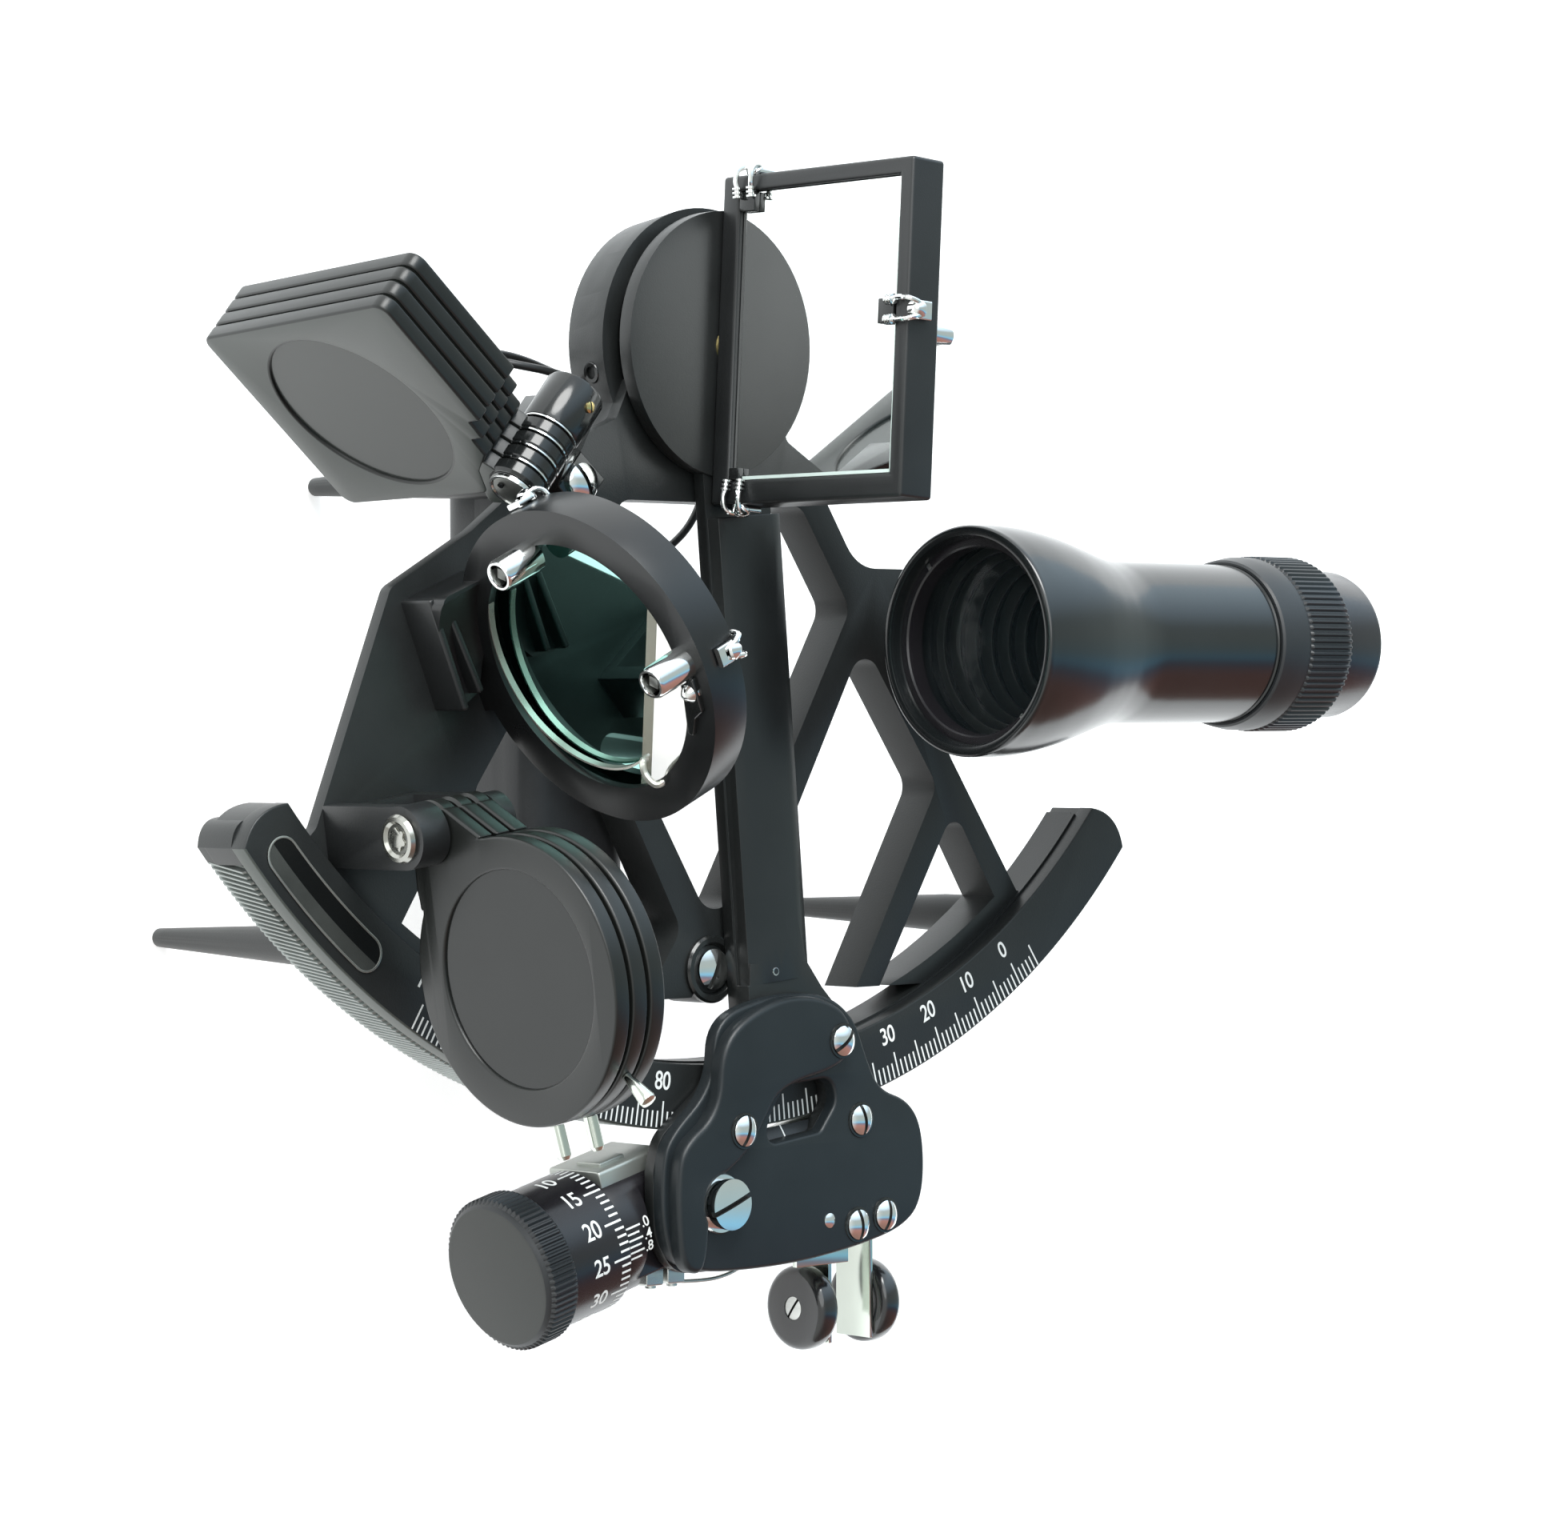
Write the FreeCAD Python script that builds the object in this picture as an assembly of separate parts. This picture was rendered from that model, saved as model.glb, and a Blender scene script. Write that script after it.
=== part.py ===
"""Marine sextant with a micrometer drum, a 3.5x40 telescope and a lit battery grip.

Working frame: the pivot of the index arm is the Z axis, Z = 0 is the graduated face of
the limb, -Y runs from the pivot down to the middle of the limb, and +X points along the
telescope to its eyepiece.  At export every piece is shifted so that the origin is the
middle of the bounding box at the level of the three feet.  Lengths are in millimetres.
"""
import FreeCAD, Part
import math
import os

Vec = FreeCAD.Vector
UP = Vec(0, 0, 1)

# ---- driving dimensions ---------------------------------------------------------------
ARC_RADIUS = 142.0          # outer radius of the limb, to the worm rack
ARC_INNER = 130.0           # inner radius of the limb's front lip
ARC_LEFT = -51.4            # left end of the limb, degrees from -Y towards +X
ARC_RIGHT = 48.9            # right end of the limb
END_BULGE = 0.9             # how far the curved ends stand out, degrees
LIP = 3.5                   # thickness of the graduated lip
RACK_TOP = -4.5             # the rack band starts here, below a thin groove
RACK_BOTTOM = -13.0
BED_BACK = -11.0            # back of the limb's body
BED_INNER = 129.6           # inner radius of the limb's body, where the casting joins
ZERO_ANGLE = 32.9           # where the scale reads zero
READING = 56.0              # reading at rest, in scale degrees
ARM_ANGLE = ZERO_ANGLE - READING / 2.0

FACE = -4.0                 # front face of the frame casting
CASTING_DEPTH = 8.5
WEB_DEPTH = 2.6
FEET = -67.0                # level of the feet
LEG_RADIUS = 3.7
LEG_TIP = 1.7
LEG_SPOTS = ((-78.5, -106.5), (79.5, -106.0), (-42.4, -24.6))

DISC_RADIUS = 24.2
ARM_FLANGE = -0.4           # top of the arm's flange
ARM_CROWN = 3.0             # top of the arm's rib
FOOT_TOP = 2.7
PLATE_TOP = 5.2
COVER_TOP = 8.0
CARRIAGE_PIN = 3.0          # radius of the pin that the worm carriage swings on
DISC_BOTTOM = -2.9
HUB_BACK = -17.0
HEAD_RIM = -6.3             # front of the hood round the head
HEAD_BACK = 23.7            # radius of the head at its back
HEAD_FRONT = 25.2           # and at its front rim
PIVOT_RADIUS = 5.0
RUNNING = 0.04              # radial running clearance of a shaft in its bush
GAP = 0.4                   # clearance between pieces that slide past each other

AXIS_HEIGHT = 25.0          # height of the optical axis above the limb face
TELESCOPE_Y = -53.6
TELESCOPE_FRONT = 35.6      # X of the front rim
EYE_END = 139.3             # X of the eyepiece's end

MIRROR_TILT = -3.5          # lean of the index mirror at rest
MIRROR_FRONT = -3.1         # X of the front plane of its housing
RING_ANGLE = 25.0           # direction of the horizon mirror's normal, from +X
RING_CENTRE = (-54.9, -57.0, 26.0)
RING_RADIUS = 28.8
RING_DEPTH = 8.0

PATH_ANGLE = 50.0           # direction from the horizon mirror to the index mirror
INDEX_HINGE_V = 27.9        # hinge of the index shades, across the light path
INDEX_HINGE_Z = 9.2
INDEX_FRONT = -60.0         # front face of the front index shade along the light path
HORIZON_ANGLE = 8.0         # direction of the horizon shades' hinge, from +X
HORIZON_HINGE = (-90.6, -87.0, 16.0)
HORIZON_FIRST = 6.3         # front face of the first horizon shade along the hinge
INDEX_PITCH = 3.2
INDEX_THICK = 2.85
HORIZON_PITCH = 3.9
SHADE_THICK = 3.2

WORM_ANGLE = 14.0           # where the worm meets the rack, degrees from -Y
WORM_DISTANCE = 148.6       # from the pivot to the worm's axis
WORM_HEIGHT = -8.75
KNOB_FACE = -87.5           # along the worm's axis, from the meshing point
KNOB_END = -80.5
DRUM_END = -66.5
SLEEVE_END = -50.0
CARRIAGE_PIVOT = (-8.2, -154.4)

GRIP_X = (-36.5, -10.5)
GRIP_Y = (-122.0, -25.0)
GRIP_Z = (-42.0, -14.5)

LEAD_DIAMETER = 1.5
LEAD_ROUTE = (
    (-13.5, -40.0, -28.0), (-1.0, -40.0, -28.0), (9.0, -37.0, -27.5), (17.0, -30.5, -27.0),
    (20.5, -20.5, -27.0), (16.0, -11.5, -27.0), (6.5, -8.0, -27.2), (-5.0, -8.0, -27.4),
    (-16.0, -5.0, -27.5), (-27.0, -1.8, -27.5), (-36.5, -1.4, -27.5), (-40.0, -2.4, -24.0),
    (-40.0, -3.6, -19.0), (-36.5, -4.6, -15.5), (-30.0, -5.4, -14.6), (-23.6, -6.9, -14.4),
)

NODES = {}


# ---- small helpers --------------------------------------------------------------------
def polar(radius, angle, z=0.0):
    """Point at an angle in degrees from -Y towards +X."""
    turn = math.radians(angle)
    return Vec(radius * math.sin(turn), -radius * math.cos(turn), z)


def heading(angle):
    """Unit vector in the limb plane, angle in degrees from +X towards +Y."""
    turn = math.radians(angle)
    return Vec(math.cos(turn), math.sin(turn), 0)


def unit(vector):
    return Vec(vector).multiply(1.0 / vector.Length)


def rounded_wire(points, radius, z=0.0):
    """Closed outline whose corners are arcs; radius is one number or one per corner."""
    radii = radius if isinstance(radius, (list, tuple)) else [radius] * len(points)
    corners = [Vec(p[0], p[1], z) for p in points]
    edges = []
    starts = []
    ends = []
    for i, corner in enumerate(corners):
        before = unit(corners[i - 1].sub(corner))
        after = unit(corners[(i + 1) % len(corners)].sub(corner))
        if radii[i] <= 0:
            starts.append(corner)
            ends.append(corner)
            continue
        half = before.getAngle(after) / 2.0
        reach = radii[i] / math.tan(half)
        middle = unit(before.add(after))
        start = corner.add(Vec(before).multiply(reach))
        end = corner.add(Vec(after).multiply(reach))
        centre_distance = radii[i] / math.sin(half)
        apex = corner.add(Vec(middle).multiply(centre_distance - radii[i]))
        edges.append(Part.Arc(start, apex, end).toShape())
        starts.append(start)
        ends.append(end)
    for i in range(len(corners)):
        start = ends[i]
        end = starts[(i + 1) % len(corners)]
        if start.sub(end).Length > 1e-4:
            edges.append(Part.makeLine(start, end))
    return Part.Wire(Part.sortEdges(edges)[0])


def prism(points, z0, z1, radius=0.0):
    """Plate between two heights with a rounded outline."""
    return Part.Face(rounded_wire(points, radius, z0)).extrude(Vec(0, 0, z1 - z0))


def box(low, high):
    size = Vec(*high).sub(Vec(*low))
    return Part.makeBox(size.x, size.y, size.z, Vec(*low))


def rod(start, end, radius):
    """Round bar between two points."""
    start = Vec(*start)
    axis = Vec(*end).sub(start)
    return Part.makeCylinder(radius, axis.Length, start, axis)


def pipe(start, end, outer, inner):
    return rod(start, end, outer).cut(rod(start, end, inner))


def sector(inner, outer, first, last, z0, z1, bulge=0.0):
    """Ring sector about the pivot, angles from -Y towards +X; bulge rounds both ends outwards."""
    middle = (first + last) / 2.0
    mean = (inner + outer) / 2.0
    edges = [
        Part.Arc(polar(outer, first, z0), polar(outer, middle, z0), polar(outer, last, z0)).toShape(),
        Part.Arc(polar(inner, last, z0), polar(inner, middle, z0), polar(inner, first, z0)).toShape(),
    ]
    for end, crest in ((first, first - bulge), (last, last + bulge)):
        near = polar(inner, end, z0)
        far = polar(outer, end, z0)
        if bulge > 0:
            edges.append(Part.Arc(near, polar(mean, crest, z0), far).toShape())
        else:
            edges.append(Part.makeLine(near, far))
    wire = Part.Wire(Part.sortEdges(edges)[0])
    return Part.Face(wire).extrude(Vec(0, 0, z1 - z0))


def turned(profile, origin, axis):
    """Solid of revolution; profile is a closed list of (distance along axis, radius)."""
    points = [Vec(radius, 0, along) for along, radius in profile]
    face = Part.Face(Part.makePolygon(points + points[:1]))
    solid = face.revolve(Vec(0, 0, 0), UP, 360)
    return stood(solid, origin, axis)


def stood(shape, origin, axis):
    """Place a shape drawn about local Z so that local Z runs along the axis."""
    rotation = FreeCAD.Rotation(UP, Vec(*axis))
    result = shape.copy()
    result.Placement = FreeCAD.Placement(Vec(*origin), rotation).multiply(shape.Placement)
    return result


def placed(shape, origin, x_axis, y_axis):
    """Place a shape drawn in local axes."""
    z_axis = x_axis.cross(y_axis)
    rotation = FreeCAD.Rotation(x_axis, y_axis, z_axis, "ZXY")
    result = shape.copy()
    result.Placement = FreeCAD.Placement(Vec(*origin), rotation).multiply(shape.Placement)
    return result


def fused(shapes):
    result = shapes[0]
    for shape in shapes[1:]:
        result = result.fuse(shape)
    return result.removeSplitter()


def keep(name, shape):
    NODES[name] = shape


def screw(centre, axis, radius, height):
    """Domed slotted head on its shank's axis; the base lies at the centre point."""
    head = [(0, 0), (0, radius), (height * 0.35, radius), (height * 0.8, radius * 0.72), (height, 0)]
    solid = turned(head, centre, axis)
    slot = Part.makeBox(2.2 * radius, radius * 0.28, height, Vec(-1.1 * radius, -radius * 0.14, height * 0.55))
    return solid.cut(stood(slot, centre, axis))


# ---- frame ----------------------------------------------------------------------------
def mirrored(points):
    return [(-x, y) for x, y in points]


def lattice_openings():
    """Outlines of the gaps between the spokes, right half, centre and left half."""
    kite = [(38.4, -53.2), (58.2, -80.6), (28.0, -132.0), (26.2, -130.0), (8.6, -105.6)]
    triangle = [(62.8, -85.0), (80.5, -112.0), (35.6, -129.0)]
    diamond = [(22.0, -28.4), (34.9, -47.3), (0.0, -106.8), (-36.5, -48.5), (-22.5, -28.4)]
    foot = [(0.0, -110.5), (17.8, -132.0), (-17.8, -132.0)]
    return kite, triangle, diamond, foot


def frame_casting():
    """Head, spokes, side web and telescope arm in one aluminium casting."""
    back = FACE - CASTING_DEPTH
    outline = [(-22, -10), (-28.0, -26.0), (-36.8, -39.0), (-58.2, -70.4), (-80.5, -101.5),
               (-88, -118), (88, -118), (80.5, -101.5), (55.4, -66.0), (85.0, -66.0), (85.0, -39.6),
               (36.8, -39.6), (28.4, -27.0), (22, -10)]
    corner = [0, 0, 6, 6, 4, 0, 0, 4, 6, 3, 3, 9, 0, 0]
    plate = prism(outline, back, FACE, corner)
    web = [(-20, -6), (-24, -14), (-39.5, -20.5), (-46.5, -26.5), (-58.0, -34.8), (-76.2, -44.9),
           (-92.6, -85.6), (-99.5, -92.0), (-94, -108), (-60, -118), (-30, -60)]
    side_web = prism(web, FACE - WEB_DEPTH, FACE, [0, 2, 2, 2, 0, 3, 3, 0, 0, 0, 0])
    limb_reach = Part.makeCylinder(BED_INNER, 60, Vec(0, 0, -40), UP)
    body = plate.fuse(side_web).common(limb_reach)
    kite, triangle, diamond, foot = lattice_openings()
    gaps = (
        (kite, [4, 4, 0, 0, 4]),
        (mirrored(kite), [4, 4, 0, 0, 4]),
        (triangle, [3, 0, 0]),
        (mirrored(triangle), [3, 0, 0]),
        (diamond, [4, 4, 5, 4, 3]),
        (foot, [2, 0, 0]),
    )
    limb_bed = Part.makeCylinder(BED_INNER - 3.4, 60, Vec(0, 0, -40), UP)
    for outline, corner in gaps:
        cutter = prism(outline, back - 5, FACE + 5, corner)
        body = body.cut(cutter.common(limb_bed))
    head = Part.makeCone(HEAD_BACK, HEAD_FRONT, HEAD_RIM - HUB_BACK, Vec(0, 0, HUB_BACK), UP)
    boss = Part.makeCylinder(6.2, CASTING_DEPTH, Vec(-1.5, -113.0, back), UP)
    body = body.fuse(head).fuse(boss)
    body = body.cut(Part.makeCylinder(21.5, 20, Vec(0, 0, HEAD_RIM - 3.5), UP))
    for x, y in LEG_SPOTS:
        pad = Part.makeCylinder(LEG_RADIUS + 1.2, FACE - RACK_BOTTOM, Vec(x, y, RACK_BOTTOM), UP)
        body = body.fuse(pad.common(limb_reach))
    hub = Part.makeCylinder(9.0, FACE - 0.6 - HUB_BACK, Vec(0, 0, HUB_BACK), UP)
    body = body.fuse(hub)
    body = body.cut(Part.makeCylinder(7.5, 40, Vec(0, 0, -30), UP))
    keep("frame_casting", body.removeSplitter())


def limb_arc():
    """Graduated lip above a worm-rack band, with curved ends."""
    lip = sector(ARC_INNER, ARC_RADIUS, ARC_LEFT, ARC_RIGHT, -LIP, 0, END_BULGE)
    groove = sector(BED_INNER, ARC_RADIUS - 2.0, ARC_LEFT + 0.8, ARC_RIGHT - 0.8, RACK_TOP, -LIP)
    bed = sector(BED_INNER, ARC_RADIUS - 5.0, ARC_LEFT + 0.7, ARC_RIGHT - 0.7, BED_BACK, RACK_TOP)
    rack = sector(ARC_RADIUS - 8.0, ARC_RADIUS, ARC_LEFT, ARC_RIGHT, RACK_BOTTOM, RACK_TOP, END_BULGE)
    keep("limb_arc", fused([lip, groove, bed, rack]))


def name_plate():
    """Blank badge on the left end of the limb, following its curve."""
    half = 3.3
    middle = 136.6
    first = -48.9
    last = -38.6
    badge = sector(middle - half, middle + half, first, last, 0.0, 0.3)
    for end in (first, last):
        badge = badge.fuse(Part.makeCylinder(half, 0.3, polar(middle, end), UP))
    keep("name_plate", badge.removeSplitter())


def legs():
    """Three tapered feet that the sextant stands on."""
    length = RACK_BOTTOM - FEET
    profile = [(0, 0), (0, LEG_RADIUS), (-9.5, LEG_RADIUS), (0.6 - length, LEG_TIP), (-length, LEG_TIP - 0.5),
               (-length, 0)]
    solids = [turned(profile, (x, y, RACK_BOTTOM), (0, 0, 1)) for x, y in LEG_SPOTS]
    keep("legs", Part.makeCompound(solids))


def pivot():
    """Centre bearing: a brass bush in the hub and the arm's shaft in it."""
    bush = pipe((0, 0, HUB_BACK), (0, 0, FACE + 0.9), 7.5, PIVOT_RADIUS + RUNNING)
    flange = pipe((0, 0, HUB_BACK - 1.5), (0, 0, HUB_BACK), 9.0, PIVOT_RADIUS + RUNNING)
    keep("pivot_bush", fused([bush, flange]))
    shaft = rod((0, 0, HUB_BACK - 2.2), (0, 0, DISC_BOTTOM), PIVOT_RADIUS)
    retainer = rod((0, 0, HUB_BACK - 4.2), (0, 0, HUB_BACK - 2.2), 7.0)
    keep("pivot_shaft", fused([shaft, retainer]))


def grip():
    """Battery grip behind the frame: two shells, screws, cells, cap and the switch."""
    x0, x1 = GRIP_X
    y0, y1 = GRIP_Y
    z0, z1 = GRIP_Z
    seam = (z0 + z1) / 2.0
    section = [(x0, z0), (x1, z0), (x1, z1), (x0, z1)]
    wire = rounded_wire(section, [11, 11, 6, 6])
    block = Part.Face(wire).extrude(Vec(0, 0, y1 - y0))
    block = placed(block, (0, y1, 0), Vec(1, 0, 0), Vec(0, 0, 1))
    cx = (x0 + x1) / 2.0
    hollow = rod((cx, y0 + 7, seam), (cx, y1 - 4, seam), 8.4)
    mouth = rod((cx, y0 - 1, seam), (cx, y0 + 7, seam), 9.6)
    switch_well = rod((x0 - 1, y1 - 20, seam + 7), (x0 + 8, y1 - 20, seam + 7), 3.6)
    block = block.cut(hollow).cut(mouth).cut(switch_well)
    lead_hole = rod((x1 - 6, -40.0, -28.0), (x1 + 1, -40.0, -28.0), LEAD_DIAMETER / 2 + 0.5)
    block = block.cut(lead_hole)
    front_half = box((x0 - 5, y0 - 5, seam), (x1 + 5, y1 + 5, z1 + 5))
    rear_half = box((x0 - 5, y0 - 5, z0 - 5), (x1 + 5, y1 + 5, seam))
    keep("grip_front_shell", block.common(front_half).removeSplitter())
    keep("grip_rear_shell", block.common(rear_half).removeSplitter())
    strips = [box((-34.5, -37.0, z1), (-16.5, -30.5, FACE - CASTING_DEPTH)),
              box((-30.5, -119.0, z1), (-8.0, -112.5, FACE - CASTING_DEPTH))]
    keep("grip_brackets", Part.makeCompound(strips))
    heads = [screw((cx, y, z0), (0, 0, -1), 3.2, 1.8) for y in (y1 - 10.5, y0 + 18.0)]
    keep("grip_screws", Part.makeCompound(heads))
    cap = turned([(0, 0), (0, 8.3), (7.2, 8.3), (7.2, 0)], (cx, y0 + 6.4, seam), (0, -1, 0))
    keep("battery_cap", cap)
    cells = [rod((cx, y0 + 7.6 + i * 41.0, seam), (cx, y0 + 47.6 + i * 41.0, seam), 7.2) for i in range(2)]
    keep("battery_cells", Part.makeCompound(cells))
    button = rod((x0 - 1.8, y1 - 20, seam + 7), (x0 + 4.5, y1 - 20, seam + 7), 3.2)
    keep("lamp_button", button)


# ---- lamp lead ------------------------------------------------------------------------
def lead_wire(route):
    """Straight runs joined by tangent arcs, each arc as large as its two runs allow."""
    points = [Vec(*p) for p in route]
    edges = []
    here = points[0]
    radii = []
    for before, corner, after in zip(points, points[1:], points[2:]):
        into = unit(before.sub(corner))
        out = unit(after.sub(corner))
        turn = math.pi - into.getAngle(out)
        shorter = min(before.sub(corner).Length, after.sub(corner).Length)
        reach = 0.45 * shorter
        radius = reach / math.tan(turn / 2.0)
        radii.append(radius)
        start = corner.add(Vec(into).multiply(reach))
        end = corner.add(Vec(out).multiply(reach))
        middle = unit(into.add(out))
        apex = corner.add(Vec(middle).multiply(radius / math.cos(turn / 2.0) - radius))
        edges.append(Part.LineSegment(here, start).toShape())
        edges.append(Part.Arc(start, apex, end).toShape())
        here = end
    edges.append(Part.LineSegment(here, points[-1]).toShape())
    print("lead radii", [round(r, 1) for r in radii])
    return Part.Wire(edges)


def lamp_lead():
    """Thin lead from the battery grip round the back of the head to the pivot lamp."""
    path = lead_wire(LEAD_ROUTE)
    first = Vec(*LEAD_ROUTE[0])
    direction = unit(Vec(*LEAD_ROUTE[1]).sub(first))
    circle = Part.Wire(Part.makeCircle(LEAD_DIAMETER / 2, first, direction))
    tube = path.makePipeShell([circle], True, False)
    section = math.pi * LEAD_DIAMETER ** 2 / 4
    print("lead length", round(path.Length, 1), "volume ratio", round(tube.Volume / (section * path.Length), 3))
    keep("lamp_lead", tube)


# ---- index arm ------------------------------------------------------------------------
def arm_point(x, y):
    """Turn a point drawn with the arm pointing along -Y to the arm's rest angle."""
    turn = math.radians(ARM_ANGLE)
    return (x * math.cos(turn) - y * math.sin(turn), x * math.sin(turn) + y * math.cos(turn))


def arm_section(y, half):
    """Section across the arm: a low flange and a raised rib with a crowned top."""
    wall = half - 0.3
    shoulder = wall - 0.2
    points = [Vec(-half, y, DISC_BOTTOM), Vec(half, y, DISC_BOTTOM), Vec(half, y, ARM_FLANGE),
              Vec(wall, y, ARM_FLANGE), Vec(shoulder, y, ARM_CROWN - 0.7)]
    top = Part.Arc(points[-1], Vec(0, y, ARM_CROWN), Vec(-shoulder, y, ARM_CROWN - 0.7)).toShape()
    left = [Vec(-shoulder, y, ARM_CROWN - 0.7), Vec(-wall, y, ARM_FLANGE), Vec(-half, y, ARM_FLANGE), points[0]]
    edges = [Part.makeLine(a, b) for a, b in zip(points, points[1:])]
    return Part.Wire(edges + [top] + [Part.makeLine(a, b) for a, b in zip(left, left[1:])])


def arm_foot():
    """Outline of the flared foot that rides in front of the limb."""
    points = [(2.2, -112.0), (2.0, -119.6), (-5.5, -123.6), (-8.6, -133.5), (-20.5, -142.0), (-22.0, -148.0),
              (-21.8, -159.5), (-17.0, -166.6), (8.0, -167.2), (27.0, -165.2), (40.6, -162.2),
              (45.0, -156.4), (44.8, -144.6), (41.0, -138.8), (33.0, -136.4), (29.6, -130.0),
              (26.6, -123.0), (20.5, -117.0), (16.5, -112.0)]
    corner = [0, 3, 4, 7, 7, 5, 7, 7, 20, 20, 6, 7, 7, 6, 5, 6, 6, 5, 0]
    return points, corner


def sight_window():
    """Opening through which the scale and the index line are read."""
    points = [(3.6, -144.8), (17.6, -143.2), (21.6, -138.2), (21.0, -133.4), (8.6, -134.4), (4.6, -140.0)]
    return prism(points, -1, 9, [2, 2, 2.5, 2.5, 3, 3])


def index_arm():
    """Disc at the pivot, ribbed column, and the flared foot in front of the limb."""
    disc = Part.makeCylinder(DISC_RADIUS, -DISC_BOTTOM, Vec(0, 0, DISC_BOTTOM), UP)
    flange = prism([(-8.2, -18.0), (8.2, -18.0), (8.2, -116.0), (-8.2, -116.0)], DISC_BOTTOM, ARM_FLANGE)
    rib = Part.makeLoft([arm_section(-31.0, 8.2), arm_section(-115.8, 8.0)], True, True)
    bridge = prism([(-8.2, -115.8), (8.2, -115.8), (8.2, -126.5), (-8.2, -126.5)], DISC_BOTTOM, FOOT_TOP)
    column = fused([flange, rib, bridge])
    column.rotate(Vec(0, 0, 0), UP, ARM_ANGLE)
    points, corner = arm_foot()
    foot = prism(points, GAP, FOOT_TOP, corner)
    x, y = CARRIAGE_PIVOT
    screw_hole = Part.makeCylinder(CARRIAGE_PIN, 20, Vec(x, y, -5), UP)
    body = disc.fuse(column).fuse(foot).cut(sight_window()).cut(screw_hole)
    keep("index_arm", body.removeSplitter())


def arm_plates():
    """The foot's front plate and the raised S-shaped cover that bridges it."""
    base = [(-9.2, -121.5), (-9.4, -133.5), (-20.5, -142.0), (-22.0, -148.0),
            (-21.8, -159.5), (-17.0, -166.6), (8.0, -167.2), (27.0, -165.2), (40.6, -162.2),
            (45.0, -156.4), (44.8, -144.6), (41.0, -138.8), (33.0, -136.4), (29.6, -130.0),
            (26.6, -122.5), (18.5, -117.6), (4.0, -117.8)]
    corner = [8, 9, 7, 5, 7, 7, 20, 20, 6, 7, 7, 6, 5, 6, 6, 6, 12]
    x, y = CARRIAGE_PIVOT
    screw_hole = Part.makeCylinder(CARRIAGE_PIN, 20, Vec(x, y, -5), UP)
    plate = prism(base, FOOT_TOP, PLATE_TOP, corner).cut(sight_window()).cut(screw_hole)
    keep("arm_base_plate", plate)
    cover = [(-9.8, -124.5), (-10.4, -137.8), (-19.6, -143.4), (-20.7, -150.0), (-20.3, -160.5),
             (-18.6, -166.0), (-13.4, -166.4), (-12.6, -151.2), (-3.0, -145.6), (1.2, -139.6),
             (5.0, -134.2), (20.4, -131.6), (24.2, -127.0), (21.8, -121.0), (14.0, -117.9), (3.4, -118.0)]
    corner = [9, 7, 6, 5, 7, 2.4, 2.4, 4, 6, 6, 4, 4, 4, 5, 8, 12]
    screw_well = Part.makeCylinder(5.4, 8, Vec(x, y, 4.0), UP)
    keep("arm_cover_plate", prism(cover, PLATE_TOP, COVER_TOP, corner).cut(screw_well))


def arm_hardware():
    """Plate screws, and the big screw that the worm carriage swings on."""
    dome = 1.5
    spots = ((20.5, -126.6, COVER_TOP), (-4.5, -141.5, COVER_TOP), (28.0, -141.7, PLATE_TOP),
             (27.1, -161.0, PLATE_TOP), (34.4, -159.8, PLATE_TOP))
    heads = [screw(spot, (0, 0, 1), 3.0, dome) for spot in spots]
    heads.append(screw((19.8, -159.7, PLATE_TOP), (0, 0, 1), 1.4, 0.6))
    keep("arm_screws", Part.makeCompound(heads))
    x, y = CARRIAGE_PIVOT
    pin = rod((x, y, -4.6), (x, y, PLATE_TOP), CARRIAGE_PIN)
    head = rod((x, y, PLATE_TOP), (x, y, PLATE_TOP + 4.0), 4.9)
    slot = box((x - 6, y - 0.7, PLATE_TOP + 3.0), (x + 6, y + 0.7, PLATE_TOP + 5))
    keep("carriage_pivot_screw", fused([pin, head.cut(slot)]))


def index_mirror():
    """Box frame on the disc, its mirror, three clips and the adjusting screw."""
    lean = math.radians(90 + MIRROR_TILT)
    along = Vec(math.cos(lean), math.sin(lean), 0)
    back = Vec(along.y, -along.x, 0)
    origin = Vec(MIRROR_FRONT, 0, 0)

    def local(shape):
        return placed(shape, (origin.x, origin.y, 0), back, along)

    top = 30.3
    bottom = -29.2
    outer = prism([(0, bottom), (8.0, bottom), (8.0, top), (0, top)], 0.0, 47.8)
    recess = box((-1.0, -24.9, 4.3), (5.4, 27.3, 44.6))
    glass = box((1.3, -24.7, 4.5), (4.3, 27.1, 44.4))
    keep("index_mirror_housing", local(outer.cut(recess)))
    keep("index_mirror_glass", local(glass))
    rise = 3.0
    hook_top = box((-1.0, top, 4.0), (6.0, top + rise, 9.4)).fuse(box((-1.0, top - 6.0, 5.2), (-0.2, top, 8.2)))
    hook_low = box((-1.0, bottom - rise, 4.0), (6.0, bottom, 9.4)).fuse(
        box((-1.0, bottom, 5.2), (-0.2, bottom + 6.0, 8.2)))
    hook_side = box((-1.0, 0.8, 47.8), (6.0, 6.2, 47.8 + rise)).fuse(box((-1.0, 2.0, 41.0), (-0.2, 5.0, 47.8)))
    pin = rod((8.0, 0.4, 44.2), (14.4, 0.4, 44.2), 2.1)
    fittings = [local(shape) for shape in (hook_top, hook_low, hook_side, pin)]
    keep("index_mirror_clips", Part.makeCompound(fittings))


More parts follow.
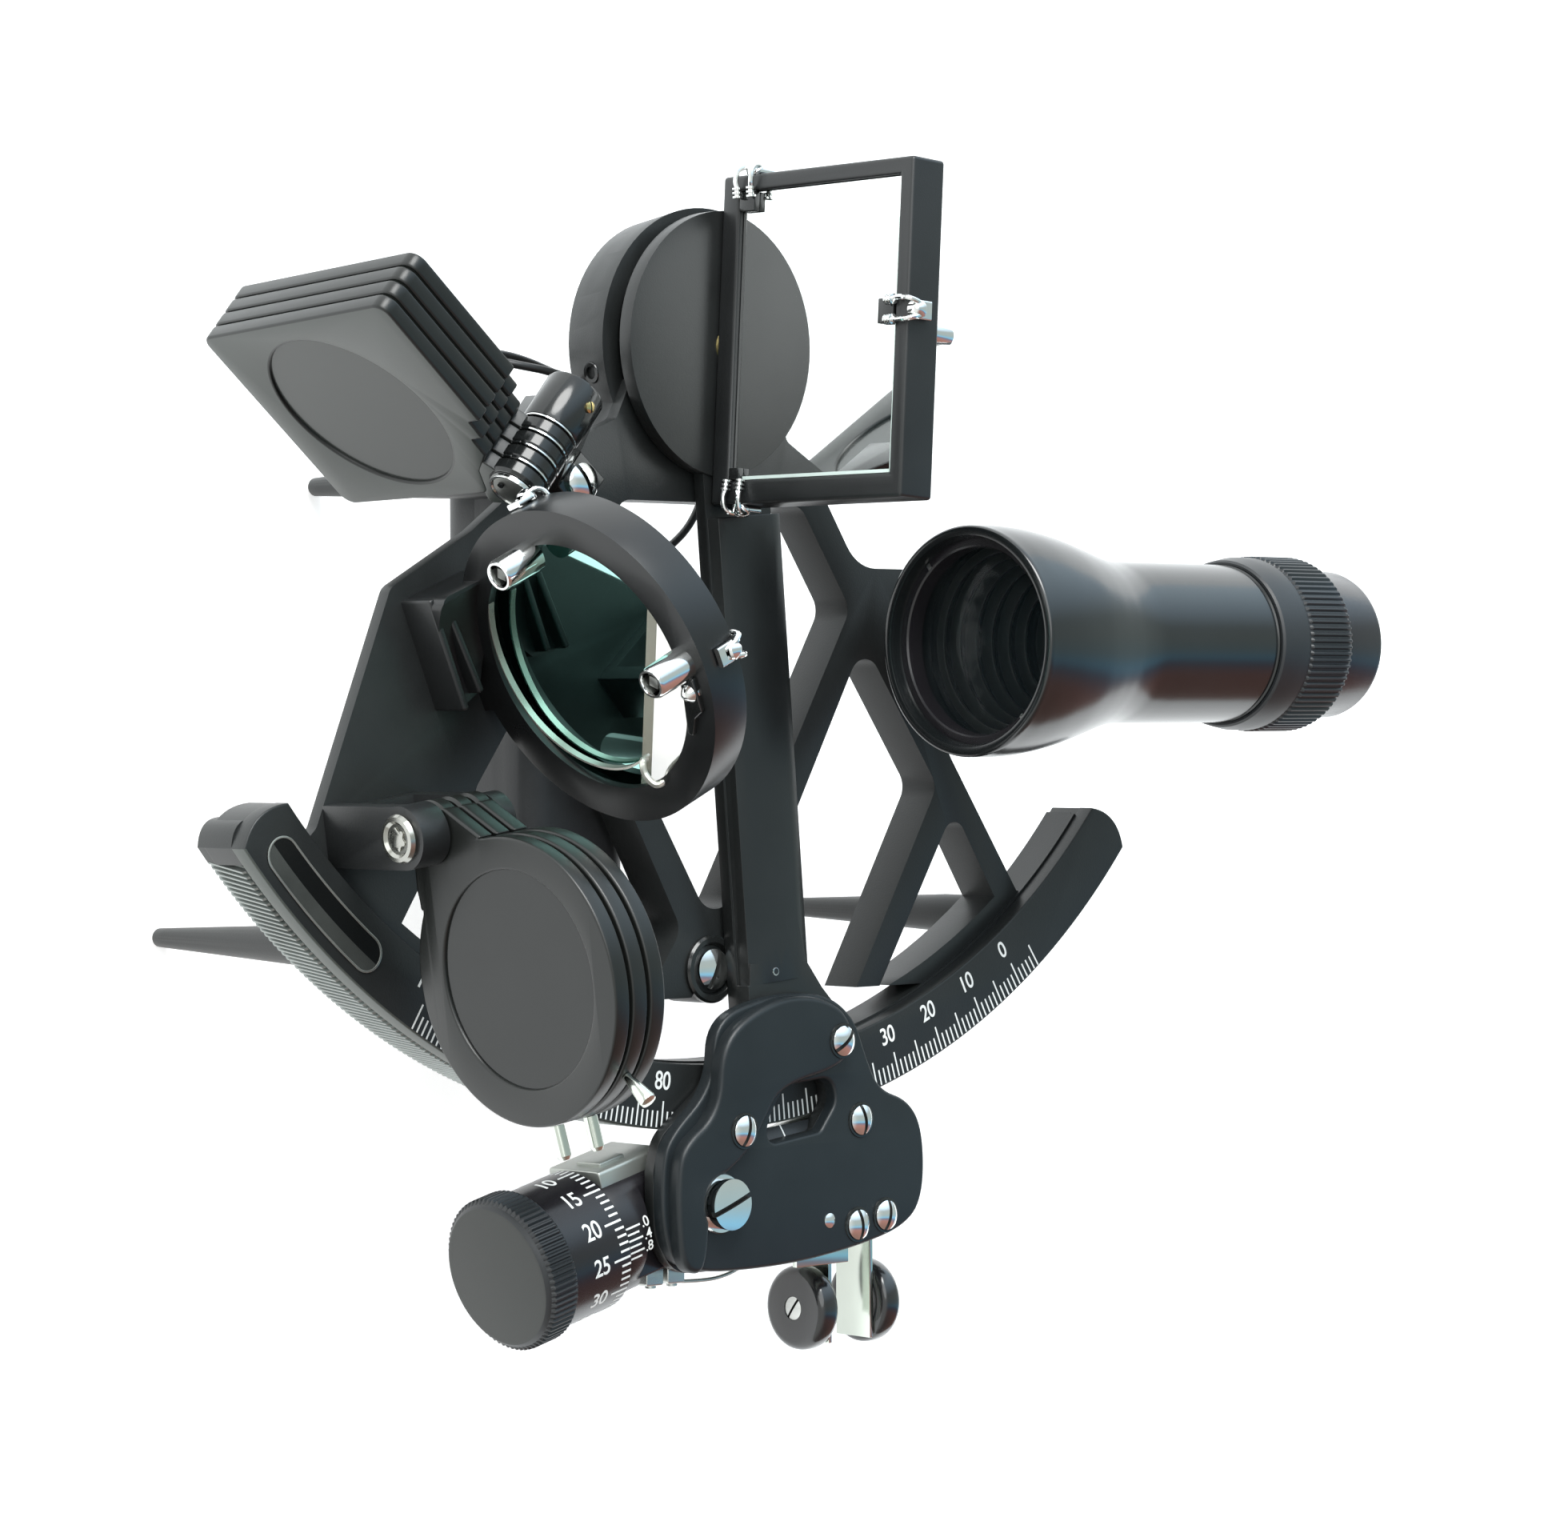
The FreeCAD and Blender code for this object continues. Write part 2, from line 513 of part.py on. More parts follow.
# ---- horizon mirror -------------------------------------------------------------------
def horizon_mirror():
    """Ring housing on the side web, its mirror, clips and two adjusting screws."""
    normal = heading(RING_ANGLE)
    level = Vec(-normal.y, normal.x, 0)
    centre = Vec(*RING_CENTRE)

    def at(shape):
        """Local axes: X level across the ring, Y up, Z along the mirror's normal."""
        return placed(shape, (centre.x, centre.y, centre.z), level, UP)

    back = -RING_DEPTH / 2.0
    ring = Part.makeCylinder(RING_RADIUS, RING_DEPTH, Vec(0, 0, back), UP)
    bore = Part.makeCylinder(22.6, RING_DEPTH + 4, Vec(0, 0, back - 2), UP)
    seat = Part.makeCylinder(25.2, RING_DEPTH, Vec(0, 0, back + 1.6), UP)
    web_level = FACE - centre.z
    foot = Part.makeBox(16.0, 8.0, RING_DEPTH, Vec(-8.0, web_level, back))
    foot = foot.cut(bore)
    body = ring.cut(bore).cut(seat).fuse(foot.cut(seat))
    wedge_points = [(-57.4, -40.6), (-74.0, -47.2), (-66.0, -66.4), (-60.5, -62.5)]
    wedge = prism(wedge_points, FACE, 6.5, 2.0)
    bore_world = at(Part.makeCylinder(25.2, 40, Vec(0, 0, -20), UP))
    wedge = wedge.cut(bore_world)
    body = at(body).fuse(wedge)
    below = box((-120, -120, FACE - 20), (0, 0, FACE))
    body = body.cut(below)
    keep("horizon_mirror_housing", body.removeSplitter())
    glass = Part.makeCylinder(24.9, 2.6, Vec(0, 0, back + 3.4), UP)
    keep("horizon_mirror_glass", at(glass))
    clips = []
    for turn in (-15, 90, 205):
        hook = box((RING_RADIUS, -2.3, -4.8), (RING_RADIUS + 1.2, 2.3, 5.4))
        hook = hook.fuse(box((23.2, -1.5, 4.4), (RING_RADIUS, 1.5, 5.4))).removeSplitter()
        hook.rotate(Vec(0, 0, 0), UP, turn)
        clips.append(at(hook))
    keep("horizon_mirror_clips", Part.makeCompound(clips))
    caps = []
    for x, y in ((20.4, -4.2), (0.4, 23.9)):
        cap = pipe((x, y, back - 8.0), (x, y, back), 2.8, 2.0)
        core = rod((x, y, back - 6.4), (x, y, back), 2.0)
        caps.append(at(cap.fuse(core).removeSplitter()))
    keep("horizon_adjusters", Part.makeCompound(caps))


# ---- shades ---------------------------------------------------------------------------
def index_frame(shape):
    """Local axes of the index shades: X across the path, Y up, Z towards the pivot."""
    along = heading(PATH_ANGLE)
    across = Vec(-along.y, along.x, 0)
    hinge = Vec(across).multiply(INDEX_HINGE_V)
    return placed(shape, (hinge.x, hinge.y, INDEX_HINGE_Z), UP.cross(along), UP)


def index_shades():
    """Four square plates with round filters on one barrel hinge, folded out to the side."""
    window = (20.6, -21.6)
    for number in range(4):
        start = INDEX_FRONT + number * INDEX_PITCH
        outline = [(-0.8, -7.0), (-1.8, -46.3), (41.3, -45.6), (45.2, 6.7), (19.8, 6.2), (4.6, -4.4)]
        plate = prism(outline, start, start + INDEX_THICK, [2, 2.5, 2.5, 2.5, 1, 1])
        step = number * 2.1
        tab = prism([(8.5 + step, -3.5 + step), (13.5 + step, 2.0 + step), (17.0 + step, -1.6 + step),
                     (12.0 + step, -7.5 + step)], start, start + INDEX_THICK, 0.6)
        knuckle = Part.makeCylinder(5.2, INDEX_THICK, Vec(0, 0, start), UP)
        arm = prism([(-3.2, -9.0), (-4.6, 2.0), (3.5, 4.0), (10.0, -4.0)], start, start + INDEX_THICK, 0)
        body = plate.fuse(tab).fuse(arm).fuse(knuckle)
        glass_hole = Part.makeCylinder(18.0, 10, Vec(*window, start - 3), UP)
        pin_hole = Part.makeCylinder(2.0 + RUNNING, 10, Vec(0, 0, start - 3), UP)
        body = body.cut(glass_hole).cut(pin_hole)
        glass = Part.makeCylinder(18.0, 1.6, Vec(*window, start + 0.6), UP)
        keep("index_shade_%d" % (number + 1), index_frame(body.removeSplitter()))
        keep("index_shade_glass_%d" % (number + 1), index_frame(glass))


def index_shade_mount():
    """Pin held at its inner end by a lug whose foot is screwed to the frame head."""
    last = INDEX_FRONT + 4 * INDEX_PITCH
    end = last + 9.6
    pin = Part.makeCylinder(2.0, end - INDEX_FRONT + 0.3, Vec(0, 0, INDEX_FRONT - 0.3), UP)
    cap = Part.makeCylinder(4.0, 0.9, Vec(0, 0, INDEX_FRONT - 1.2), UP)
    bracket_screw = screw((-17.6, FACE - INDEX_HINGE_Z + 3.0, (last + end) / 2), (0, 1, 0), 3.2, 1.6)
    fittings = [pin.fuse(cap).removeSplitter(), bracket_screw]
    keep("index_shade_pin", index_frame(Part.makeCompound(fittings)))
    floor = FACE - INDEX_HINGE_Z
    lug = Part.makeCylinder(5.2, end - last, Vec(0, 0, last), UP)
    leg = box((-14.0, floor, last), (0.0, 0.0, end))
    slope = prism([(-14.0, 1.0), (-14.0, floor + 3.0), (-5.4, 1.0)], last, end)
    foot = box((-21.4, floor, last + 0.6), (-12.0, floor + 3.0, end - 0.6))
    shaft = Part.makeCylinder(2.0, 40, Vec(0, 0, last - 5), UP)
    body = fused([lug, leg.cut(slope), foot]).cut(shaft)
    keep("index_shade_bracket", index_frame(body))


def horizon_frame(shape):
    """Local axes of the horizon shades: X across the hinge, Y up, Z along the hinge."""
    along = heading(HORIZON_ANGLE)
    return placed(shape, HORIZON_HINGE, UP.cross(along).multiply(-1.0), UP)


def horizon_shades():
    """Three round shades folded out to the side, in front of the limb."""
    centre = (24.7, 17.2)
    window = (24.2, 17.7)
    for number, lean in enumerate((11, 50, 10)):
        start = -(HORIZON_FIRST + number * HORIZON_PITCH + SHADE_THICK)
        disc = Part.makeCylinder(24.3, SHADE_THICK, Vec(*centre, start), UP)
        ear = prism([(-4.6, -3.0), (-3.0, 5.5), (6.0, 22.0), (26.0, -2.0), (10.0, -5.5)],
                    start, start + SHADE_THICK, 1.0)
        knuckle = Part.makeCylinder(5.4, SHADE_THICK, Vec(0, 0, start), UP)
        glass_hole = Part.makeCylinder(18.3, 10, Vec(*window, start - 3), UP)
        pin_hole = Part.makeCylinder(2.0 + RUNNING, 10, Vec(0, 0, start - 3), UP)
        body = disc.fuse(ear).fuse(knuckle).cut(glass_hole).cut(pin_hole)
        turn = math.radians(lean)
        outward = Vec(math.cos(turn), math.sin(turn), 0)
        middle = Vec(centre[0], centre[1], start + SHADE_THICK / 2)
        finger = rod(middle.add(Vec(outward).multiply(23.0)), middle.add(Vec(outward).multiply(30.6)), 1.15)
        glass = Part.makeCylinder(18.3, 1.8, Vec(*window, start + 0.8), UP)
        keep("horizon_shade_%d" % (number + 1), horizon_frame(body.fuse(finger).removeSplitter()))
        keep("horizon_shade_glass_%d" % (number + 1), horizon_frame(glass))


def horizon_shade_mount():
    """Two walls on the side web that carry the horizon shades' pin."""
    floor = FACE - HORIZON_HINGE[2]
    last = HORIZON_FIRST + 3 * HORIZON_PITCH
    shaft = Part.makeCylinder(2.0, 60, Vec(0, 0, -50), UP)
    front = prism([(-5.2, floor), (5.4, floor), (5.4, 0.0), (-5.2, 0.0)], -3.4, 0.0)
    front = front.fuse(Part.makeCylinder(5.4, 5.9, Vec(0, 0, -5.9), UP))
    rear = prism([(-4.4, floor), (5.0, floor), (4.4, 0.0), (-4.4, 0.0)], -last - 3.2, -last)
    rear = rear.fuse(Part.makeCylinder(4.8, 3.2, Vec(0, 0, -last - 3.2), UP))
    rail = box((-4.4, floor, -last - 3.2), (4.6, floor + 2.4, 0.0))
    body = fused([front, rear, rail]).cut(shaft)
    keep("horizon_shade_bracket", horizon_frame(body))
    pin = Part.makeCylinder(2.0, last + 3.2, Vec(0, 0, -last - 3.2), UP)
    cap = Part.makeCylinder(3.9, 1.2, Vec(0, 0, 0), UP)
    keep("horizon_shade_pin", horizon_frame(fused([pin, cap])))


# ---- telescope ------------------------------------------------------------------------
def telescope():
    """Objective bell, tube, focusing ring, sliding eyepiece, lenses and the bracket."""
    x0 = TELESCOPE_FRONT
    axis_point = (0, TELESCOPE_Y, AXIS_HEIGHT)
    outside = [(x0, 20.6), (x0 + 1.0, 21.2), (x0 + 5.5, 21.2), (x0 + 11, 20.9), (x0 + 17.5, 20.0),
               (x0 + 23, 18.6), (x0 + 28, 17.2), (x0 + 32.5, 16.0), (x0 + 37, 15.3), (x0 + 41, 15.2),
               (x0 + 78.0, 15.2)]
    inside = [(x0 + 78.0, 12.6), (x0 + 37, 12.6), (x0 + 30, 14.4), (x0 + 24, 16.4), (x0 + 16, 18.4),
              (x0 + 10.0, 18.6), (x0 + 10.0, 18.9), (x0, 18.9)]
    keep("telescope_tube", turned(outside + inside, axis_point, (1, 0, 0)))
    lens_face = [(x0 + 6.4, 0), (x0 + 6.9, 9.0), (x0 + 8.2, 18.7), (x0 + 9.8, 18.7), (x0 + 9.8, 0)]
    keep("objective_lens", turned(lens_face, axis_point, (1, 0, 0)))
    ring = [(x0 + 71.4, 15.26), (x0 + 71.4, 16.0), (x0 + 78.6, 17.0), (x0 + 91.6, 17.0),
            (x0 + 91.6, 14.64), (x0 + 78.6, 14.64), (x0 + 78.6, 15.26)]
    keep("focus_ring", turned(ring, axis_point, (1, 0, 0)))
    barrel = [(x0 + 80.0, 10.4), (x0 + 80.0, 12.2), (x0 + 85.4, 12.2), (x0 + 85.4, 14.4), (EYE_END - 1, 14.4),
              (EYE_END, 13.4), (EYE_END, 11.4), (EYE_END - 3.0, 10.4)]
    keep("eyepiece", turned(barrel, axis_point, (1, 0, 0)))
    lens = [(x0 + 90.0, 0), (x0 + 90.0, 10.4), (x0 + 94.0, 10.4), (x0 + 96.0, 0)]
    keep("eye_lens", turned(lens, axis_point, (1, 0, 0)))
    block = prism([(60.0, -63.0), (82.0, -63.0), (82.0, -44.0), (60.0, -44.0)], FACE, 13.0, 2.0)
    post_cut = rod((20, TELESCOPE_Y, AXIS_HEIGHT), (120, TELESCOPE_Y, AXIS_HEIGHT), 15.2)
    bell = turned([(x0, 0), (x0, 21.2), (x0 + 11, 21.2), (x0 + 17.5, 20.3), (x0 + 28, 17.5), (x0 + 37, 15.4),
                   (x0 + 41, 15.2), (x0 + 41, 0)], axis_point, (1, 0, 0))
    saddle = block.cut(post_cut).cut(bell)
    keep("telescope_bracket", saddle.removeSplitter())


# ---- micrometer -----------------------------------------------------------------------
def along_worm(distance):
    """Point on the worm's axis, measured from where it meshes with the rack."""
    middle = polar(WORM_DISTANCE, WORM_ANGLE, WORM_HEIGHT)
    return middle.add(heading(WORM_ANGLE).multiply(distance))


def micrometer():
    """Worm, drum and knob, with the swinging carriage that holds them in mesh."""
    axis = heading(WORM_ANGLE)
    start = along_worm(0)
    worm = turned([(-16, 0), (-16, 5.0), (3, 5.0), (3, 0)], start, axis)
    shaft = turned([(-66.5, 0), (-66.5, 3.0), (7.0, 3.0), (7.0, 0)], start, axis)
    keep("worm_shaft", fused([worm, shaft]))
    drum = turned([(KNOB_END, 3.0), (KNOB_END, 12.9), (DRUM_END, 12.9), (DRUM_END, 3.0)], start, axis)
    drum = drum.fuse(turned([(KNOB_END, 0), (KNOB_END, 3.0), (DRUM_END, 3.0), (DRUM_END, 0)], start, axis))
    keep("micrometer_drum", drum.removeSplitter())
    knob = turned([(KNOB_FACE, 0), (KNOB_FACE, 12.6), (KNOB_FACE + 1.2, 14.0), (KNOB_END, 14.0), (KNOB_END, 0)],
                  start, axis)
    keep("drum_knob", knob)
    sleeve = turned([(DRUM_END + 0.4, 3.0 + RUNNING), (DRUM_END + 0.4, 11.6), (SLEEVE_END, 11.6),
                     (SLEEVE_END, 3.0 + RUNNING)], start, axis)
    trim = box((-23.0, -190, -GAP), (60, -100, 30))
    sleeve = sleeve.cut(trim)
    keep("vernier_sleeve", sleeve)
    carriage_outline = [(-15.0, -162.0), (-14.6, -150.5), (-4.0, -147.2), (12.0, -145.6), (16.5, -147.0),
                        (40.0, -138.6), (42.6, -140.5), (42.6, -152.0), (34.0, -158.0), (26.0, -158.0),
                        (4.0, -163.5)]
    carriage = prism(carriage_outline, -15.5, -1.2, [2, 2, 2, 1, 1, 1, 1, 2, 1, 1, 3])
    worm_room = turned([(-17.0, 0), (-17.0, 6.4), (4.0, 6.4), (4.0, 0)], start, axis)
    shaft_room = turned([(-70, 0), (-70, 3.0 + RUNNING), (8, 3.0 + RUNNING), (8, 0)], start, axis)
    sleeve_room = turned([(-60, 0), (-60, 11.6), (SLEEVE_END, 11.6), (SLEEVE_END, 0)], start, axis)
    x, y = CARRIAGE_PIVOT
    pivot_hole = rod((x, y, -4.9), (x, y, 5), CARRIAGE_PIN + RUNNING)
    rack_room = Part.makeCylinder(ARC_RADIUS + 0.6, 40, Vec(0, 0, -20), UP)
    carriage = carriage.cut(worm_room).cut(shaft_room).cut(sleeve_room).cut(pivot_hole).cut(rack_room)
    keep("worm_carriage", carriage.removeSplitter())


def pads():
    """Two finger pads: the left one on the arm, the right one on the carriage."""
    height = -8.6
    y = -177.4

    def pad(inner_x, outward):
        profile = [(0, 0), (0, 7.0), (1.0, 7.9), (3.4, 7.9), (4.6, 7.0), (4.9, 5.6), (4.9, 0)]
        return turned(profile, (inner_x, y, height), (outward, 0, 0))

    left_x = 28.6
    right_x = 40.4
    keep("fixed_pad", pad(left_x, -1))
    keep("release_pad", pad(right_x, 1))
    strip = box((left_x, -184.0, -13.0), (left_x + 0.9, -167.6, -4.0))
    top = box((16.0, -168.5, -0.8), (left_x + 0.9, -163.0, GAP))
    riser = box((left_x, -168.5, -13.0), (left_x + 0.9, -163.0, GAP))
    keep("fixed_strip", fused([strip, top, riser]))
    moving = box((right_x - 0.9, -184.0, -13.0), (right_x, -158.0, -4.0))
    arm = box((31.0, -162.0, -13.0), (right_x, -158.0, -4.0))
    keep("release_strip", fused([moving, arm]))


def main():
    frame_casting()
    limb_arc()
    name_plate()
    legs()
    pivot()
    grip()
    lamp_lead()
    index_arm()
    arm_plates()
    arm_hardware()
    index_mirror()
    horizon_mirror()
    index_shades()
    index_shade_mount()
    horizon_shades()
    horizon_shade_mount()
    telescope()
    micrometer()
    pads()
    whole = Part.makeCompound([shape for name, shape in NODES.items() if name != "lamp_lead"])
    bounds = whole.optimalBoundingBox(False)
    shift = Vec(-(bounds.XMin + bounds.XMax) / 2, -(bounds.YMin + bounds.YMax) / 2, -bounds.ZMin)
    print("shift", [round(v, 3) for v in shift], "size", round(bounds.XLength, 1), round(bounds.YLength, 1),
          round(bounds.ZLength, 1))
    os.makedirs("parts", exist_ok=True)
    for name, shape in NODES.items():
        moved = shape.copy()
        moved.translate(shift)
        moved.exportStep("parts/%s.step" % name)
    print(len(NODES), "nodes")


main()
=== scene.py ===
"""Finish of the marine sextant: edges, markings, fittings, materials, light and camera."""
import math

import bmesh
import bpy
from mathutils import Matrix, Vector
from mathutils.geometry import tessellate_polygon


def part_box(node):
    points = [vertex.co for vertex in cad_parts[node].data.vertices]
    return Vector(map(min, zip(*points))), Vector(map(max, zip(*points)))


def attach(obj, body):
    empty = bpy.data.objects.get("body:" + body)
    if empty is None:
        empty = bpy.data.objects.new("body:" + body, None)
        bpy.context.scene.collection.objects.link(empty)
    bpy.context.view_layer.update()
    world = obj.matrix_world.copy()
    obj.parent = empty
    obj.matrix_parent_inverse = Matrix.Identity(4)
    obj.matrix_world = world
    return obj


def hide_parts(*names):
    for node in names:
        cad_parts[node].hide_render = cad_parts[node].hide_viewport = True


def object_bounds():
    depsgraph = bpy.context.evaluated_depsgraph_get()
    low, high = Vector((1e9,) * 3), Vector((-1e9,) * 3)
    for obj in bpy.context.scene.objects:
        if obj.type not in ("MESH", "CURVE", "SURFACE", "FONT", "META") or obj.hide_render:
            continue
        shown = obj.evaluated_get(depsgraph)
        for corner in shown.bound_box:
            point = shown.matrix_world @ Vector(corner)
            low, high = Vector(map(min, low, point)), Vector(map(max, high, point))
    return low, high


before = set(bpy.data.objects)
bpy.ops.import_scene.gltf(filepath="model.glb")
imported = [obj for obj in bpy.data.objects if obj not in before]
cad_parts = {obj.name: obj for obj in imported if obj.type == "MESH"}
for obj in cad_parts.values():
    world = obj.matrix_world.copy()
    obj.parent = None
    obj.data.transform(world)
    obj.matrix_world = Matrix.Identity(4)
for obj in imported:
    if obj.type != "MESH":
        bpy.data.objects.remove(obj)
cad_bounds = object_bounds()

MM = 0.001
PIVOT_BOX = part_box("pivot_shaft")
PIVOT = Vector(((PIVOT_BOX[0][0] + PIVOT_BOX[1][0]) / 2, (PIVOT_BOX[0][1] + PIVOT_BOX[1][1]) / 2,
                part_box("limb_arc")[1][2]))

# ---- dimensions shared with the frame, in millimetres from the pivot ---------------------
ARC_RADIUS = 142.0
ARC_INNER = 130.0
ARC_LEFT, ARC_RIGHT = -51.4, 48.9
END_BULGE = 0.9
BADGE_EDGE = -37.4
LIMB_DEPTH, CASTING_DEPTH = -13.0, -11.0
ZERO_ANGLE = 32.9
ARM_ANGLE = 4.9
FACE = -4.0
AXIS_HEIGHT, TELESCOPE_Y, TELESCOPE_FRONT = 25.0, -53.6, 35.6
RING_ANGLE = 25.0
RING_CENTRE = Vector((-54.9, -57.0, 26.0))
RING_RADIUS = 28.8
MIRROR_TILT, MIRROR_FRONT = -3.5, -3.1
WORM_ANGLE, WORM_DISTANCE, WORM_HEIGHT = 14.0, 148.6, -8.75
KNOB_FACE, KNOB_END, DRUM_END = -87.5, -80.5, -66.5


def at(x, y, z):
    """Point in metres from millimetres about the pivot."""
    return PIVOT + Vector((x, y, z)) * MM


def polar(radius, angle, z=0.0):
    turn = math.radians(angle)
    return Vector((radius * math.sin(turn), -radius * math.cos(turn), z))


def heading(angle):
    turn = math.radians(angle)
    return Vector((math.cos(turn), math.sin(turn), 0.0))


UP = Vector((0, 0, 1))


def axes(origin, x_axis, y_axis):
    """Matrix that places local axes at an origin, in millimetres."""
    x_axis = Vector(x_axis).normalized()
    y_axis = Vector(y_axis).normalized()
    z_axis = x_axis.cross(y_axis)
    place = Matrix((x_axis, y_axis, z_axis)).transposed().to_4x4()
    place.translation = Vector(origin)
    return place


def along(origin, direction, side=None):
    """Matrix whose local Z runs along a direction."""
    direction = Vector(direction).normalized()
    side = Vector(side) if side is not None else direction.orthogonal()
    x_axis = (side - direction * side.dot(direction)).normalized()
    return axes(origin, x_axis, direction.cross(x_axis))


# ---- materials ---------------------------------------------------------------------------
MATERIALS = {}


def material(name, colour, rough, metal=0.0, specular=0.5, grain=0.0, grain_size=0.4, patch=0.12,
             coat=0.0, coat_rough=0.1, rough_patch=0.06, streak=None):
    """Metal, paint or rubber with fine grain, faint mottling and uneven gloss."""
    made = bpy.data.materials.new(name)
    made.use_nodes = True
    nodes = made.node_tree.nodes
    links = made.node_tree.links
    shader = nodes["Principled BSDF"]
    shader.inputs["Metallic"].default_value = metal
    shader.inputs["Specular IOR Level"].default_value = specular
    shader.inputs["Coat Weight"].default_value = coat
    shader.inputs["Coat Roughness"].default_value = coat_rough
    where = nodes.new("ShaderNodeTexCoord")
    stretch = nodes.new("ShaderNodeMapping")
    stretch.inputs["Scale"].default_value = streak or (1, 1, 1)
    links.new(where.outputs["Object"], stretch.inputs["Vector"])
    cloud = nodes.new("ShaderNodeTexNoise")
    cloud.inputs["Scale"].default_value = 90.0
    cloud.inputs["Detail"].default_value = 4.0
    links.new(stretch.outputs["Vector"], cloud.inputs["Vector"])
    tone = nodes.new("ShaderNodeValToRGB")
    tone.color_ramp.elements[0].position = 0.3
    tone.color_ramp.elements[1].position = 0.7
    tone.color_ramp.elements[0].color = [c * (1 - patch) for c in colour] + [1]
    tone.color_ramp.elements[1].color = [min(1.0, c * (1 + patch)) for c in colour] + [1]
    links.new(cloud.outputs["Fac"], tone.inputs["Fac"])
    links.new(tone.outputs["Color"], shader.inputs["Base Color"])
    gloss = nodes.new("ShaderNodeMapRange")
    gloss.inputs["To Min"].default_value = max(0.02, rough - rough_patch)
    gloss.inputs["To Max"].default_value = rough + rough_patch
    links.new(cloud.outputs["Fac"], gloss.inputs["Value"])
    links.new(gloss.outputs["Result"], shader.inputs["Roughness"])
    if grain > 0:
        speck = nodes.new("ShaderNodeTexNoise")
        speck.inputs["Scale"].default_value = 1000.0 / grain_size
        speck.inputs["Detail"].default_value = 2.0
        links.new(stretch.outputs["Vector"], speck.inputs["Vector"])
        bump = nodes.new("ShaderNodeBump")
        bump.inputs["Strength"].default_value = grain
        bump.inputs["Distance"].default_value = 0.00006
        links.new(speck.outputs["Fac"], bump.inputs["Height"])
        links.new(bump.outputs["Normal"], shader.inputs["Normal"])
    MATERIALS[name] = made
    return made


def glass_material(name, colour, rough, alpha, specular=0.5, metal=0.0):
    """Thin glass: a tinted, partly clear pane with its own gloss."""
    made = material(name, colour, rough, metal=metal, specular=specular, patch=0.0, rough_patch=0.0)
    made.node_tree.nodes["Principled BSDF"].inputs["Alpha"].default_value = alpha
    made.surface_render_method = "BLENDED"
    return made


material("casting_paint", (0.014, 0.0155, 0.0155), 0.40, grain=0.35, grain_size=0.35, specular=0.42)
material("arm_paint", (0.010, 0.011, 0.011), 0.33, grain=0.18, grain_size=0.3)
material("plate_paint", (0.009, 0.0125, 0.0145), 0.40, grain=0.2, grain_size=0.25, specular=0.4)
material("mirror_paint", (0.011, 0.012, 0.0125), 0.38, grain=0.25, grain_size=0.3)
# lighter copy of the shade paint: a painted sheen on the index shades' front faces
material("filter_sheen_paint", (0.038, 0.044, 0.040), 0.34, grain=0.15, grain_size=0.3)
material("telescope_paint", (0.0065, 0.008, 0.0085), 0.20, grain=0.04, grain_size=0.3, specular=0.7,
         rough_patch=0.02)
material("front_shade_paint", (0.0075, 0.0085, 0.0078), 0.34, grain=0.1, grain_size=0.3, specular=0.45)
material("baffle_paint", (0.020, 0.021, 0.020), 0.36, grain=0.3, grain_size=0.5)
material("anodised", (0.012, 0.011, 0.013), 0.25, grain=0.1, grain_size=0.3)
material("anodised_matt", (0.014, 0.016, 0.018), 0.42, grain=0.2, grain_size=0.3)
material("knob_face", (0.020, 0.022, 0.020), 0.5, grain=0.3, grain_size=0.25)
material("pad_black", (0.010, 0.010, 0.011), 0.18, grain=0.05, coat=0.5, coat_rough=0.06)
material("knuckle_black", (0.010, 0.011, 0.011), 0.16, grain=0.06, grain_size=0.3)
material("rim_metal", (0.075, 0.085, 0.078), 0.42, metal=0.4, grain=0.2, grain_size=0.3)
material("rack_metal", (0.27, 0.29, 0.28), 0.32, metal=0.85, grain=0.25, grain_size=0.3)
material("chrome", (0.80, 0.81, 0.80), 0.10, metal=1.0, grain=0.05, patch=0.04, rough_patch=0.03)
material("steel", (0.50, 0.51, 0.49), 0.28, metal=1.0, grain=0.2, grain_size=0.2, streak=(1, 6, 1))
material("brass", (0.62, 0.50, 0.22), 0.24, metal=1.0, grain=0.15)
material("marking", (0.82, 0.83, 0.81), 0.5, grain=0.2, grain_size=0.15, patch=0.05)
material("plate_rim", (0.42, 0.43, 0.40), 0.30, metal=0.8, grain=0.15)
material("grip_black", (0.016, 0.017, 0.018), 0.5, grain=0.6, grain_size=0.5, patch=0.2)
material("sheath", (0.012, 0.012, 0.012), 0.4, grain=0.3, grain_size=0.4)
material("cell_wrap", (0.05, 0.10, 0.18), 0.35, grain=0.1)
material("silvering", (0.90, 0.92, 0.91), 0.015, metal=1.0, patch=0.02, rough_patch=0.005)
material("glass_edge", (0.60, 0.70, 0.66), 0.2, grain=0.1)
material("dark_filter", (0.008, 0.009, 0.0085), 0.16, specular=0.4, patch=0.1, rough_patch=0.02)
glass_material("lens", (0.02, 0.03, 0.035), 0.04, 0.16, specular=0.6)
glass_material("horizon_glass", (1.0, 0.90, 0.76), 0.03, 0.20)
material("teal_mirror", (0.36, 0.66, 0.60), 0.02, metal=1.0, patch=0.03, rough_patch=0.01)
material("spring_wire", (0.62, 0.62, 0.56), 0.28, metal=0.75, patch=0.04)
material("bright_steel", (0.60, 0.64, 0.58), 0.14, metal=1.0, patch=0.04)
material("dull_steel", (0.36, 0.36, 0.33), 0.20, metal=1.0, patch=0.05)
# darker, glossier copy of the mirror housing paint; the darkening is painted shade
material("ring_paint", (0.0075, 0.0082, 0.0086), 0.30, grain=0.08, grain_size=0.3, specular=0.5)
material("carriage_steel", (0.42, 0.44, 0.41), 0.32, metal=0.7, patch=0.08)
# dull dark paint for screw slots: painted shade in the slot recess
material("slot_painted_shade", (0.035, 0.035, 0.033), 0.5, metal=0.4)
